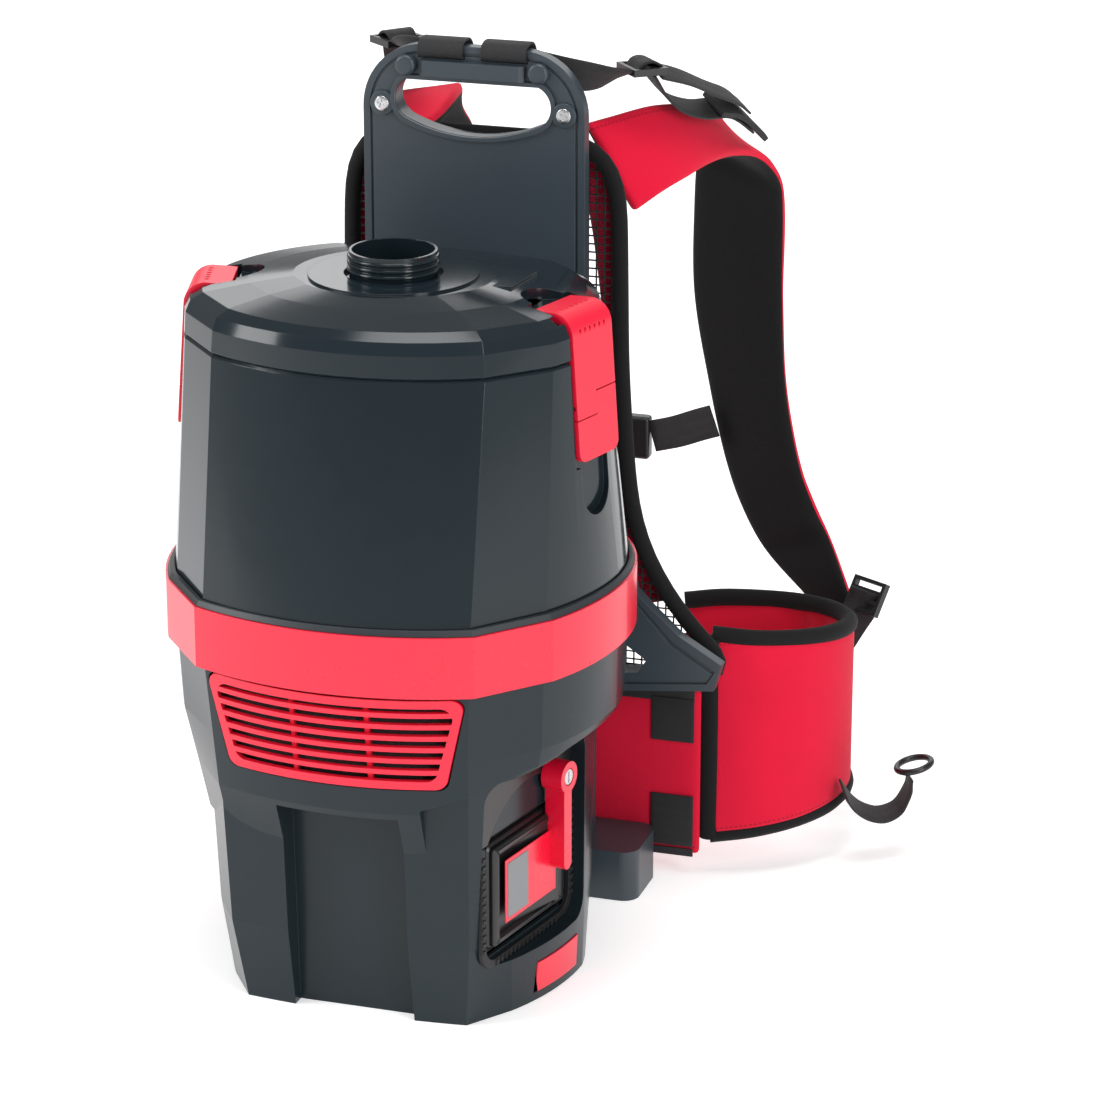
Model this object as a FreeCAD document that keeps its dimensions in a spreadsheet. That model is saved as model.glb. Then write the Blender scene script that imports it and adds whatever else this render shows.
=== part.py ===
import FreeCAD, Part
import math
import os

# Backpack vacuum cleaner.  Millimetres, +Z up.  The origin is on the floor under the hose neck,
# +X is the wearer's right, the exhaust grille faces -Y and the harness is on the +Y side.

Vec = FreeCAD.Vector
Turn = FreeCAD.Rotation
Place = FreeCAD.Placement
X_DIR = Vec(1, 0, 0)
Y_DIR = Vec(0, 1, 0)
Z_DIR = Vec(0, 0, 1)

doc = FreeCAD.newDocument("backpack_vacuum")
dims = doc.addObject("Spreadsheet::Sheet", "dims")

SIZES = {
    "wall": 3, "running_gap": 0.05, "leg_height": 163,
    "skirt_top": 250.6, "band_top": 292.7, "lid_seam": 455.6,
    "neck_radius": 31, "neck_bore": 27.5, "neck_top": 511.5, "thread_pitch": 4.2,
    "ring_radius": 57, "recess_half": 43, "recess_depth": 87, "recess_lean": 3,
    "port_floor": 108, "port_front": -100, "port_back": 22, "port_low": 42, "port_high": 178,
    "bay_front": -92, "bay_back": 14, "bay_low": 50, "bay_high": 134, "bay_inner": 50,
    "button_low": 7, "button_high": 30, "button_front": -44, "button_back": 8, "button_floor": 107,
    "motor_x": -32, "motor_y": 25, "motor_radius": 52, "motor_low": 98, "motor_high": 206,
    "shaft_radius": 4, "fan_radius": 46, "armature_radius": 27,
    "latch_width": 46, "latch_turn": -16, "latch_lean": -4.3, "latch_plate": 5.5, "latch_gap": 1.5,
    "pin_radius": 1.5, "lever_drop": 37, "hook_rise": 63.5, "hook_reach": 24,
    "board_y": 165, "board_depth": 10, "board_half": 81, "board_top": 613, "board_corner": 46,
    "shell_depth": 8, "screw_x": 66.4, "screw_z": 569.7, "stud_x": 48.4, "stud_z": 597.8,
    "foot_half": 130, "foot_front": 134, "foot_back": 192, "foot_height": 38,
    "panel_y": 187, "pad_thick": 13, "belt_thick": 12,
}

# Plan of the canister at each level: the front bow, the crease where the bow meets the slanted
# facet, the end of the facet, the widest point, the rear corner and the back.
FIELDS = ("level", "front", "crease_x", "crease_y", "facet_x", "facet_y", "wide_x", "wide_y",
          "rear_x", "rear_y", "back")
STATIONS = {
    "base": (0, 98, 79, 93, 101, 62, 125, 22, 62, 118, 122),
    "low": (60, 109, 85, 104, 105, 74, 127, 22, 68, 127, 132),
    "waist": (190, 118, 88, 112, 110, 78, 128, 22, 70, 131, 136),
    "flare": (128, 114, 84, 106, 113, 70, 129, 10, 76, 122, 132),
    "skirt": (163, 130, 88, 113, 119, 74, 137, 14, 86, 126, 138),
    "shoulder": (200, 135.5, 89.7, 116.8, 127, 76, 151, 14, 90, 129, 140),
    "collar": (250.6, 143, 92, 122, 129, 78, 153, 12, 94, 132, 142),
    "band": (292.7, 146, 97, 125, 136, 79, 159, 12, 98, 135, 146),
    "bin_low": (292.7, 141, 93, 120, 130, 75, 154, 10, 94, 130, 141),
    "bin_top": (455.6, 116, 94, 91, 128, 54, 141, -2, 85, 108, 118),
    "lid_rim": (472, 115, 93, 90, 127, 54, 140, -2, 84, 107, 117),
    "lid_soft": (480, 112, 91, 87, 124, 52, 137, -2, 82, 104, 114),
    "lid_bend": (485, 105, 85, 81, 116, 49, 129, -1, 77, 98, 107),
    "lid_slope": (490.5, 78, 65, 60, 88, 37, 98, 0, 57, 73, 80),
    "lid_crown": (494.5, 57, 45, 43, 61, 25, 68, 0, 41, 52, 57),
}


def fill_sheet():
    cells = dict(SIZES)
    for station, numbers in STATIONS.items():
        for field, number in zip(FIELDS, numbers):
            cells[station + "_" + field] = number
    for row, (alias, number) in enumerate(cells.items(), start=1):
        dims.set("A%d" % row, alias)
        dims.set("B%d" % row, str(number))
        dims.setAlias("B%d" % row, alias)
    doc.recompute()


def size(alias):
    return float(dims.get(alias))


fill_sheet()
nodes = {}


# ---------------------------------------------------------------- helpers

def keep(obj, node):
    obj.Label = node
    nodes[node] = obj
    return obj


def bind(obj, **sizes):
    for name, expression in sizes.items():
        obj.setExpression(name, expression)


def box(name, length, width, height, corner):
    obj = doc.addObject("Part::Box", name)
    bind(obj, Length=length, Width=width, Height=height)
    obj.Placement = Place(Vec(*corner), Turn())
    return obj


def cylinder(name, radius, height, foot, axis=Z_DIR):
    obj = doc.addObject("Part::Cylinder", name)
    bind(obj, Radius=radius, Height=height)
    obj.Placement = Place(Vec(*foot), Turn(Z_DIR, axis))
    return obj


def cut(name, base, tool):
    obj = doc.addObject("Part::Cut", name)
    obj.Base, obj.Tool = base, tool
    return obj


def fuse(name, parts):
    obj = doc.addObject("Part::MultiFuse", name)
    obj.Shapes = parts
    return obj


def feature(node, shape):
    obj = doc.addObject("Part::Feature", node)
    obj.Shape = shape
    return keep(obj, node)


def tube(name, outer, inner, height, foot, axis=Z_DIR):
    shell = cylinder(name + "_outer", outer, height, foot, axis)
    return cut(name, shell, cylinder(name + "_inner", inner, height, foot, axis))


def polygon(points):
    return Part.makePolygon([Vec(*p) for p in points] + [Vec(*points[0])])


def block(x_range, y_range, z_range):
    shape = Part.makeBox(x_range[1] - x_range[0], y_range[1] - y_range[0], z_range[1] - z_range[0])
    shape.translate(Vec(x_range[0], y_range[0], z_range[0]))
    return shape


def rod(start, end, radius):
    along = Vec(*end) - Vec(*start)
    return Part.makeCylinder(radius, along.Length, Vec(*start), along)


def mirrored(shape):
    return shape.mirror(Vec(0, 0, 0), X_DIR)


def arc_between(start, end, bulge, level):
    """Arc whose middle stands off the chord by bulge times its length, on the outer side."""
    chord = end - start
    middle = (start + end) * 0.5 + Vec(chord.y, -chord.x, 0) * bulge
    ends = [Vec(p.x, p.y, level) for p in (start, middle, end)]
    return Part.Arc(*ends).toShape()


def plan(station, inset=0.0, level=None):
    """Closed plan outline of the canister at a station, drawn in by inset."""
    value = {field: size(station + "_" + field) for field in FIELDS}
    z = value["level"] if level is None else level
    shrink = 1 - inset / value["wide_x"]
    right = [Vec(value["crease_x"], -value["crease_y"], 0), Vec(value["facet_x"], -value["facet_y"], 0),
             Vec(value["wide_x"], value["wide_y"], 0), Vec(value["rear_x"], value["rear_y"], 0)]
    right = [p * shrink for p in right]
    left = [Vec(-p.x, p.y, 0) for p in right]
    front, back = -value["front"] * shrink, value["back"] * shrink
    crease, facet, wide, rear = right
    edges = [
        Part.Arc(Vec(left[0].x, left[0].y, z), Vec(0, front, z), Vec(crease.x, crease.y, z)).toShape(),
        Part.makeLine(Vec(crease.x, crease.y, z), Vec(facet.x, facet.y, z)),
        arc_between(facet, wide, 0.06, z),
        arc_between(wide, rear, 0.12, z),
        Part.Arc(Vec(rear.x, rear.y, z), Vec(0, back, z), Vec(left[3].x, left[3].y, z)).toShape(),
        arc_between(left[3], left[2], 0.12, z),
        arc_between(left[2], left[1], 0.06, z),
        Part.makeLine(Vec(left[1].x, left[1].y, z), Vec(left[0].x, left[0].y, z)),
    ]
    return Part.Wire(edges)


def loft(wires):
    solid = Part.makeLoft(wires, True, True)
    return solid if solid.Volume > 0 else solid.reversed()


def strap(route, width, thick, across):
    """Webbing laid along straight runs between points, its width along the vector across."""
    half = Vec(*across).normalize() * (width / 2)
    points = [Vec(*p) for p in route]
    sections = []
    for index, point in enumerate(points):
        before = points[max(index - 1, 0)]
        after = points[min(index + 1, len(points) - 1)]
        normal = (after - before).cross(half).normalize() * (thick / 2)
        corners = [point + half + normal, point - half + normal, point - half - normal, point + half - normal]
        sections.append(polygon([(c.x, c.y, c.z) for c in corners]))
    return loft(sections)


def ribbon(edges, thick):
    """Padded band given by pairs of edge points, thickened both ways from the middle surface."""
    middles = [(Vec(*a) + Vec(*b)) * 0.5 for a, b in edges]
    sections = []
    for index, (a, b) in enumerate(edges):
        outer, inner = Vec(*a), Vec(*b)
        along = middles[min(index + 1, len(edges) - 1)] - middles[max(index - 1, 0)]
        normal = along.cross(inner - outer).normalize() * (thick / 2)
        corners = [outer + normal, inner + normal, inner - normal, outer - normal]
        sections.append(polygon([(c.x, c.y, c.z) for c in corners]))
    return loft(sections)


# ---------------------------------------------------------------- canister shells

SKIRT_TOP, BAND_TOP, LID_SEAM = size("skirt_top"), size("band_top"), size("lid_seam")
WALL = size("wall")
FAR = 300
SEAM_GROOVE = 1.6


def housing_outside():
    body = loft([plan("base"), plan("low")]).fuse(loft([plan("low"), plan("waist")]))
    body = body.fuse(loft([plan("waist"), plan("waist", 2, SKIRT_TOP)]))
    skirt = loft([plan("flare"), plan("skirt")])
    for low, high in (("skirt", "shoulder"), ("shoulder", "collar")):
        skirt = skirt.fuse(loft([plan(low), plan(high)]))
    # On the battery side the skirt stops at an edge that climbs from the grille to the rear.
    climb = polygon([(58, -FAR, 100), (FAR, -FAR, 100), (FAR, -FAR, 243), (140, -FAR, 193), (58, -FAR, 166)])
    skirt = skirt.cut(Part.Face(climb).extrude(Vec(0, 2 * FAR, 0)))
    return body.fuse(skirt).removeSplitter()


def front_recess(grow=0.0):
    half = size("recess_half") + grow
    depth = size("recess_depth") - grow
    cutter = block((-half, half), (-FAR, -depth), (-5, size("leg_height") - 3 + grow))
    cutter.rotate(Vec(0, -depth, 0), X_DIR, size("recess_lean"))
    return cutter


# The battery port faces a little forward: it is turned about the foot of its lever's pivot.
PORT_TURN = -12
PORT_PIVOT = Vec(108, -9.5, 0)


def port_place(x, y, z):
    """Placement of a corner given in the port's own, unturned frame."""
    return Place(Vec(0, 0, 0), Turn(Z_DIR, PORT_TURN), PORT_PIVOT).multiply(Place(Vec(x, y, z), Turn()))


def port_turned(shape):
    turned = shape.copy()
    turned.rotate(PORT_PIVOT, Z_DIR, PORT_TURN)
    return turned


def port_box(grow=0.0):
    cutter = block((size("port_floor") - grow, FAR), (size("port_front") - grow, size("port_back") + grow),
                   (size("port_low") - grow, size("port_high") + grow))
    return cutter.makeFillet(14, [e for e in cutter.Edges if abs(e.tangentAt(0).x) > 0.9])


def port_recess(grow=0.0):
    return port_turned(port_box(grow))


def button_pocket(gap=0.4, grow=0.0):
    reach = gap + grow
    return block((size("button_floor") - grow, FAR),
                 (size("button_front") - reach, size("button_back") + reach),
                 (size("button_low") - reach, size("button_high") + reach))


def grille_window(half_low, half_high, low, high, y_from, y_to):
    face = Part.Face(polygon([(-half_low, y_from, low), (half_low, y_from, low),
                              (half_high, y_from, high), (-half_high, y_from, high)]))
    prism = face.extrude(Vec(0, y_to - y_from, 0))
    return prism.makeFillet(8, [e for e in prism.Edges if abs(e.tangentAt(0).y) > 0.9])


def build_lower_housing():
    outside = housing_outside()
    hollow = loft([plan("base", 4, 5), plan("low", 4)]).fuse(loft([plan("low", 4), plan("waist", 4)]))
    hollow = hollow.fuse(loft([plan("waist", 4), plan("waist", 4, SKIRT_TOP + 1)]))
    for keep_out in (front_recess(WALL), port_recess(WALL), button_pocket(0.4, WALL)):
        hollow = hollow.cut(keep_out)
    shell = outside.cut(hollow)
    for opening in (front_recess(), port_recess(), button_pocket()):
        shell = shell.cut(opening)
    bay = port_turned(block((60, FAR), (size("bay_front") - 1, size("bay_back") + 1),
                            (size("bay_low") - 1, size("bay_high") + 1)))
    window = grille_window(76.4, 91.4, 181.6, 249.4, -200, -100)
    shell = shell.cut(bay).cut(window)
    feature("lower_housing", shell)
    return outside


def build_band_and_bin():
    band = loft([plan("band", 0, SKIRT_TOP + 0.1), plan("band")])
    band = band.cut(loft([plan("band", 11, SKIRT_TOP), plan("band", 11, BAND_TOP + 1)]))
    feature("band_ring", band)
    deck = loft([plan("waist", 5, SKIRT_TOP - 8), plan("waist", 5, SKIRT_TOP)])
    feature("motor_deck", deck.cut(rod((size("motor_x"), size("motor_y"), 200),
                                       (size("motor_x"), size("motor_y"), 300), 44)))
    outer = loft([plan("bin_low", 0, BAND_TOP + 0.1), plan("bin_top", 0, LID_SEAM - SEAM_GROOVE)])
    outer = outer.fuse(loft([plan("bin_top", 0, LID_SEAM - SEAM_GROOVE), plan("bin_top", SEAM_GROOVE, LID_SEAM)]))
    inner = loft([plan("bin_low", 3, BAND_TOP + 5), plan("bin_top", 3, LID_SEAM + 1)])
    bosses = [latch_solid(block((-14, 12), (-27, 27), (-84, 30)), side) for side in (1, -1)]
    shell = outer.cut(inner)
    for boss in bosses:
        shell = shell.fuse(boss.common(outer))
    for side in (1, -1):
        shell = shell.cut(latch_pocket(side))
        shell = shell.cut(latch_solid(block((-7.5, 1), (0.6, 21.4), (-8, 24)), side))
        shell = shell.cut(latch_solid(rod((LEVER_X, -3, LEVER_Z), (LEVER_X, 25, LEVER_Z), PIN), side))
        shell = shell.cut(scoop(side))
    shell = shell.cut(rod((size("motor_x"), size("motor_y"), 280), (size("motor_x"), size("motor_y"), 310), 50))
    feature("bin", shell)
    bead = loft([plan("band", 1.5, BAND_TOP + 0.2), plan("band", 3.5, BAND_TOP + 4)])
    bead = bead.cut(loft([plan("bin_low", -0.3, BAND_TOP), plan("bin_low", -0.3, BAND_TOP + 5)]))
    feature("bin_gasket", bead)


# ---------------------------------------------------------------- latches

# Local frame of a latch: x out of the shell, y along its width, z up the leaning wall.
LATCH_FOOT = Vec(138.8, -13.5, 424)
LEVER_X, LEVER_Z = -2.5, 12
HOOK_X = size("latch_gap") + size("latch_plate") / 2
PIN = size("pin_radius")
HALF_LATCH = size("latch_width") / 2


def latch_place():
    turn = Turn(Z_DIR, size("latch_turn")).multiply(Turn(Y_DIR, size("latch_lean")))
    return Place(LATCH_FOOT, turn)


def latch_solid(shape, side):
    moved = shape.copy()
    moved.Placement = latch_place().multiply(moved.Placement)
    return moved if side > 0 else mirrored(moved)


def latch_pocket(side):
    return latch_solid(block((0, 60), (-HALF_LATCH - 1.5, HALF_LATCH + 1.5), (-41, 60)), side)


def scoop(side):
    """Finger scoop in the wall under the lever."""
    shape = Part.makeCylinder(19, 60, Vec(-4, 0, -58), X_DIR)
    shape = shape.fuse(block((-4, 56), (-19, 19), (-58, -34)))
    return latch_solid(shape, side)


def lever_shape():
    gap, plate = size("latch_gap"), size("latch_plate")
    rear = block((gap, gap + plate), (0.2, HALF_LATCH), (-size("lever_drop"), 7))
    front = block((gap, gap + plate), (-HALF_LATCH, 0.3), (-size("lever_drop"), -8.8))
    arm = Part.Face(polygon([(gap + 1, 2.5, -4), (gap + 0.5, 2.5, 5), (LEVER_X + 2, 2.5, LEVER_Z + 2),
                             (LEVER_X - 2, 2.5, LEVER_Z - 2)])).extrude(Vec(0, 17, 0))
    knuckle = rod((LEVER_X, 2.5, LEVER_Z), (LEVER_X, 19.5, LEVER_Z), 3)
    shape = rear.fuse([front, arm, knuckle]).removeSplitter()
    low = -size("lever_drop")
    shape = shape.makeFillet(7, [e for e in shape.Edges if abs(e.tangentAt(0).x) > 0.9
                                 and e.CenterOfMass.z < low + 1])
    bore = PIN + size("running_gap")
    shape = shape.cut(rod((LEVER_X, -30, LEVER_Z), (LEVER_X, 30, LEVER_Z), bore))
    shape = shape.cut(rod((HOOK_X, -30, 0), (HOOK_X, 30, 0), bore))
    return shape.removeSplitter()


def hook_profile(low):
    """Side view of the hook: a plate that bends inwards over the lid."""
    gap, out = size("latch_gap"), size("latch_gap") + size("latch_plate")
    top, reach, seat = size("hook_rise"), -size("hook_reach"), size("hook_rise") - 6.9
    bend = 15
    points = [Vec(out, 0, low), Vec(out, 0, top - bend)]
    corner = Part.Arc(points[1], Vec(out - bend * (1 - math.cos(math.pi / 4)), 0,
                                     top - bend * (1 - math.sin(math.pi / 4))), Vec(out - bend, 0, top))
    under = bend - size("latch_plate")
    inner_turn = Part.Arc(Vec(gap - under, 0, seat), Vec(gap - under * (1 - math.cos(math.pi / 4)), 0,
                          seat - under * (1 - math.sin(math.pi / 4))), Vec(gap, 0, seat - under))
    edges = [
        Part.makeLine(points[0], points[1]), corner.toShape(),
        Part.makeLine(Vec(out - bend, 0, top), Vec(reach, 0, top)),
        Part.makeLine(Vec(reach, 0, top), Vec(reach, 0, seat)),
        Part.makeLine(Vec(reach, 0, seat), Vec(gap - under, 0, seat)), inner_turn.toShape(),
        Part.makeLine(Vec(gap, 0, seat - under), Vec(gap, 0, low)),
        Part.makeLine(Vec(gap, 0, low), Vec(out, 0, low)),
    ]
    return Part.Face(Part.Wire(edges))


def hook_shape():
    rear = hook_profile(7.9).extrude(Vec(0, HALF_LATCH, 0))
    front = hook_profile(-8).extrude(Vec(0, -HALF_LATCH, 0))
    shape = rear.fuse(front)
    # Six grip ribs over the bend are left by grooves cut across it.
    for index in range(6):
        y = -14 + index * 5.6
        shape = shape.cut(rod((-8, y, size("hook_rise") + 0.6), (9, y, size("hook_rise") - 16), 1.3))
    return shape.cut(rod((HOOK_X, -30, 0), (HOOK_X, 30, 0), PIN)).removeSplitter()


def build_latches():
    lever_pin = rod((LEVER_X, -3, LEVER_Z), (LEVER_X, 25, LEVER_Z), PIN)
    hook_pin = rod((HOOK_X, -22, 0), (HOOK_X, 22, 0), PIN)
    for side, name in ((1, "right"), (-1, "left")):
        feature(name + "_latch_lever", latch_solid(lever_shape(), side))
        feature(name + "_latch_hook", latch_solid(hook_shape(), side))
        feature(name + "_hook_pin", latch_solid(hook_pin, side))
    feature("lever_pins", Part.makeCompound([latch_solid(lever_pin, side) for side in (1, -1)]))


# ---------------------------------------------------------------- lid and hose neck

def build_lid():
    seam = LID_SEAM + 0.3
    outer = loft([plan("bin_top", SEAM_GROOVE, seam), plan("bin_top", 0, seam + SEAM_GROOVE)])
    outer = outer.fuse(loft([plan("bin_top", 0, seam + SEAM_GROOVE), plan("lid_rim")]))
    for low, high in (("lid_rim", "lid_soft"), ("lid_soft", "lid_bend"), ("lid_bend", "lid_slope"),
                      ("lid_slope", "lid_crown")):
        outer = outer.fuse(loft([plan(low), plan(high)]))
    inner = loft([plan("bin_top", 4, seam - 1), plan("lid_rim", 4, 468)])
    inner = inner.fuse(loft([plan("lid_rim", 4, 468), plan("lid_bend", 4, 476)]))
    inner = inner.fuse(loft([plan("lid_bend", 4, 476), plan("lid_slope", 4, 484)]))
    shell = outer.cut(inner)
    pad = rod((0, 0, 484), (0, 0, 496), size("ring_radius"))
    duct = Part.Face(polygon([(0, -16, 485), (0, 60, 485), (88, 36, 485), (84, -6, 485)]))
    shell = shell.fuse([pad, duct.extrude(Vec(0, 0, 9))])
    for side in (1, -1):
        rest = latch_solid(block((-12, 12), (-27, 27), (32, 62)), side).common(outer)
        shell = shell.fuse(rest)
        shell = shell.cut(latch_pocket(side))
        seat = block((-27, 60), (-HALF_LATCH - 1.5, HALF_LATCH + 1.5), (size("hook_rise") - 7, 99))
        shell = shell.cut(latch_solid(seat, side))
        dimple = Part.makeCylinder(18, 40, Vec(-26, 0, size("hook_rise") - 2), Z_DIR)
        shell = shell.cut(latch_solid(dimple, side))
        # The edge under the hook's bend is bevelled to clear its inner radius.
        level = size("hook_rise") - 7
        bevel = polygon([(-9.2, -30, level), (1, -30, level - 10.4), (1, -30, level + 5), (-9.2, -30, level + 5)])
        shell = shell.cut(latch_solid(Part.Face(bevel).extrude(Vec(0, 60, 0)), side))
        shell = shell.cut(latch_solid(block((-60, 60), (-60, 60), (-60, 31.9)), side).common(
            block((-FAR, FAR), (-FAR, FAR), (0, seam))))
    shell = shell.cut(rod((0, 0, 470), (0, 0, 520), size("neck_radius") + 2))
    feature("lid", shell.removeSplitter())
    seal = loft([plan("bin_top", 4.5, LID_SEAM - 4), plan("bin_top", 4.5, LID_SEAM + 0.2)])
    seal = seal.cut(loft([plan("bin_top", 9, LID_SEAM - 5), plan("bin_top", 9, LID_SEAM + 1)]))
    for side in (1, -1):
        seal = seal.cut(latch_solid(block((-20, 60), (-30, 30), (-60, 60)), side))
    feature("lid_seal", seal)


def build_neck():
    wall = tube("neck_wall", "dims.neck_radius - 1.6", "dims.neck_bore",
                "dims.neck_top - 440", (0, 0, 440))
    foot = tube("neck_flange", "dims.neck_radius + 1.8", "dims.neck_bore", "9", (0, 0, 484))
    turns = []
    for index in range(3):
        ring = doc.addObject("Part::Torus", "thread_%d" % index)
        bind(ring, Radius1="dims.neck_radius - 1.6", Radius2="1.6")
        ring.Placement = Place(Vec(0, 0, size("neck_top") - 4 - index * size("thread_pitch")), Turn())
        turns.append(ring)
    threads = fuse("neck_threads", turns)
    bore = cylinder("neck_bore_cut", "dims.neck_bore", "100", (0, 0, 430))
    keep(cut("hose_neck", fuse("neck_body", [wall, foot, threads]), bore), "hose_neck")


# ---------------------------------------------------------------- dust side

def build_dust_parts():
    collar = tube("collar_ring", "dims.neck_radius + 9", "dims.neck_radius - 1.4", "4", (0, 0, 446))
    keep(collar, "bag_collar")
    bag = loft([plan("bin_low", 34, 312), plan("bin_low", 36, 380)])
    bag = bag.fuse(loft([plan("bin_low", 36, 380), plan("bin_top", 44, 432)]))
    feature("dust_bag", bag.fuse(rod((0, 0, 420), (0, 0, 439), 40)).cut(
        rod((0, 0, 400), (0, 0, 441), 27)))
    keep(tube("filter_ring", "48", "26", "12", (size("motor_x"), size("motor_y"), 292.9)), "motor_filter")


# ---------------------------------------------------------------- motor and electrics

def build_motor():
    x, y = size("motor_x"), size("motor_y")
    low, high = size("motor_low"), size("motor_high")
    can = cylinder("can_outer", "dims.motor_radius", "dims.motor_high - dims.motor_low", (x, y, low))
    void = cylinder("can_inner", "dims.motor_radius - 3", "dims.motor_high - dims.motor_low - 6",
                    (x, y, low + 3))
    eye = cylinder("can_eye", "22", "20", (x, y, high - 10))
    seat = cylinder("can_bearing_seat", "dims.shaft_radius + dims.running_gap", "10", (x, y, low - 5))
    keep(cut("motor_can", can, fuse("can_voids", [void, eye, seat])), "motor_can")
    keep(tube("stator_ring", "dims.motor_radius - 3.2", "dims.armature_radius + 1.5", "52",
              (x, y, low + 10)), "motor_stator")
    ring = tube("seal_ring", "dims.motor_radius", "dims.motor_radius - 8", "36", (x, y, high + 0.2))
    keep(ring, "motor_seal")
    keep(cylinder("shaft", "dims.shaft_radius", "94", (x, y, low - 2)), "rotor_shaft")
    keep(tube("armature", "dims.armature_radius", "dims.shaft_radius", "50", (x, y, low + 11)),
         "rotor_armature")
    hub = tube("fan_hub", "13", "dims.shaft_radius", "16", (x, y, low + 74))
    plate = tube("fan_plate", "dims.fan_radius", "dims.shaft_radius", "2.5", (x, y, low + 74))
    blades = []
    for index in range(8):
        blade = doc.addObject("Part::Box", "fan_blade_%d" % index)
        bind(blade, Length="dims.fan_radius - 13", Width="2", Height="14")
        spin = Turn(Z_DIR, index * 45)
        blade.Placement = Place(Vec(x, y, low + 75) + spin.multVec(Vec(12, -1, 0)), spin)
        blades.append(blade)
    keep(fuse("fan", [hub, plate] + blades), "rotor_fan")
    keep(box("mount", "90", "72", "6", (x - 45, y - 30, 88)), "motor_mount")
    keep(tube("bearing", "9", "dims.shaft_radius + dims.running_gap", "3.6", (x, y, 94.2)), "shaft_bearing")


def build_battery_side():
    inner, floor = size("bay_inner"), size("port_floor")
    front, back, low, high = (size("bay_" + n) for n in ("front", "back", "low", "high"))
    outer_box = box("liner_outer", "dims.port_floor - dims.bay_inner", "dims.bay_back - dims.bay_front",
                    "dims.bay_high - dims.bay_low", (inner - 4, front, low))
    outer_box.Placement = port_place(inner - 3.5, front, low)
    inner_box = box("liner_inner", "200", "dims.bay_back - dims.bay_front - 6",
                    "dims.bay_high - dims.bay_low - 6", (inner, front + 3, low + 3))
    inner_box.Placement = port_place(inner, front + 3, low + 3)
    keep(cut("liner", outer_box, inner_box), "battery_bay")
    contacts = [box("contact_%d" % n, "6", "3", "14", (inner + 0.2, -50 + n * 12, 80)) for n in range(4)]
    for n, contact in enumerate(contacts):
        contact.Placement = port_place(inner + 0.2, -50 + n * 12, 80)
    keep(fuse("contacts", contacts), "bay_contacts")
    case = block((inner + 8, floor + 1), (front + 3.6, back - 3.6), (low + 3.6, high - 3.6))
    case = case.makeFillet(6, [e for e in case.Edges if abs(e.tangentAt(0).x) > 0.9])
    case = case.makeChamfer(1.5, [e for e in case.Edges if abs(e.CenterOfMass.x - floor - 1) < 0.1])
    feature("battery_pack", port_turned(case))
    # Ribbed seal: a U-shaped strip round the front, foot and rear of the port.
    rim = port_box(-0.3).common(block((floor + 0.2, floor + 3.4), (-FAR, FAR), (-FAR, 132)))
    mouth = port_box(-4.6)
    mouth.translate(Vec(-20, 0, 0))
    rim = rim.cut(mouth)
    teeth = []
    for index in range(13):
        z = 56 + index * 5.6
        teeth.append(block((floor + 0.2, floor + 4.6), (-99.7, -96.2), (z, z + 2.6)))
        teeth.append(block((floor + 0.2, floor + 4.6), (18.2, 21.7), (z, z + 2.6)))
    for index in range(15):
        y = -82 + index * 5.6
        teeth.append(block((floor + 0.2, floor + 4.6), (y, y + 2.6), (42.3, 45.8)))
    feature("port_seal", port_turned(rim.fuse(teeth).removeSplitter()))
    panel = port_box(-0.5).common(block((floor + 0.2, floor + 2.4), (-FAR, FAR), (132.5, FAR)))
    panel = panel.cut(rod((floor - 5, -36, 95), (floor + 9, -36, 95), 66))
    feature("port_cover", port_turned(panel))


BATTERY_PIVOT = (-9.5, 156)


def build_battery_lever():
    y, z = BATTERY_PIVOT
    floor = size("port_floor")
    bar = block((floor + 3, floor + 18), (y - 5, y + 5), (88, z))
    bar = bar.makeChamfer(3, [e for e in bar.Edges if abs(e.tangentAt(0).x) > 0.9 and e.CenterOfMass.z < 90])
    disc = Part.makeCylinder(11, 16, Vec(floor + 3, y, z), X_DIR)
    shape = bar.fuse(disc)
    shape = shape.cut(Part.makeCylinder(3 + size("running_gap"), 40, Vec(floor, y, z), X_DIR))
    shape = shape.cut(Part.makeCylinder(6, 3, Vec(floor + 16.5, y, z), X_DIR))
    feature("battery_lever", port_turned(shape.removeSplitter()))
    shank = Part.makeCylinder(3, 16.6, Vec(floor + 0.1, y, z), X_DIR)
    head = Part.makeCylinder(5.4, 2, Vec(floor + 16.7, y, z), X_DIR)
    head = head.cut(block((floor + 17.6, floor + 30), (y - 0.7, y + 0.7), (z - 4, z + 4)))
    feature("lever_screw", port_turned(shank.fuse(head).removeSplitter()))
    cover = nodes["port_cover"]
    cover.Shape = cover.Shape.cut(port_turned(Part.makeCylinder(3.3, 40, Vec(floor - 5, y, z), X_DIR)))


def build_button(outside):
    reach = block((112, FAR), (size("button_front"), size("button_back")),
                  (size("button_low"), size("button_high")))
    cap = outside.common(reach)
    cap.translate(Vec(0.8, 0, 0))
    feature("power_button", cap)
    case = block((96, 106.8), (-28, -8), (11, 27))
    plunger = block((106.8, 108.8), (-20, -16), (17, 21))
    housing = nodes["lower_housing"]
    housing.Shape = housing.Shape.cut(block((90, 120), (-28.2, -7.8), (10.8, 27.2)))
    feature("power_switch", case.fuse(plunger).removeSplitter())
    keep(box("board", "100", "1.6", "60", (-70, 96, 40)), "control_board")


# ---------------------------------------------------------------- exhaust grille

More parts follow.
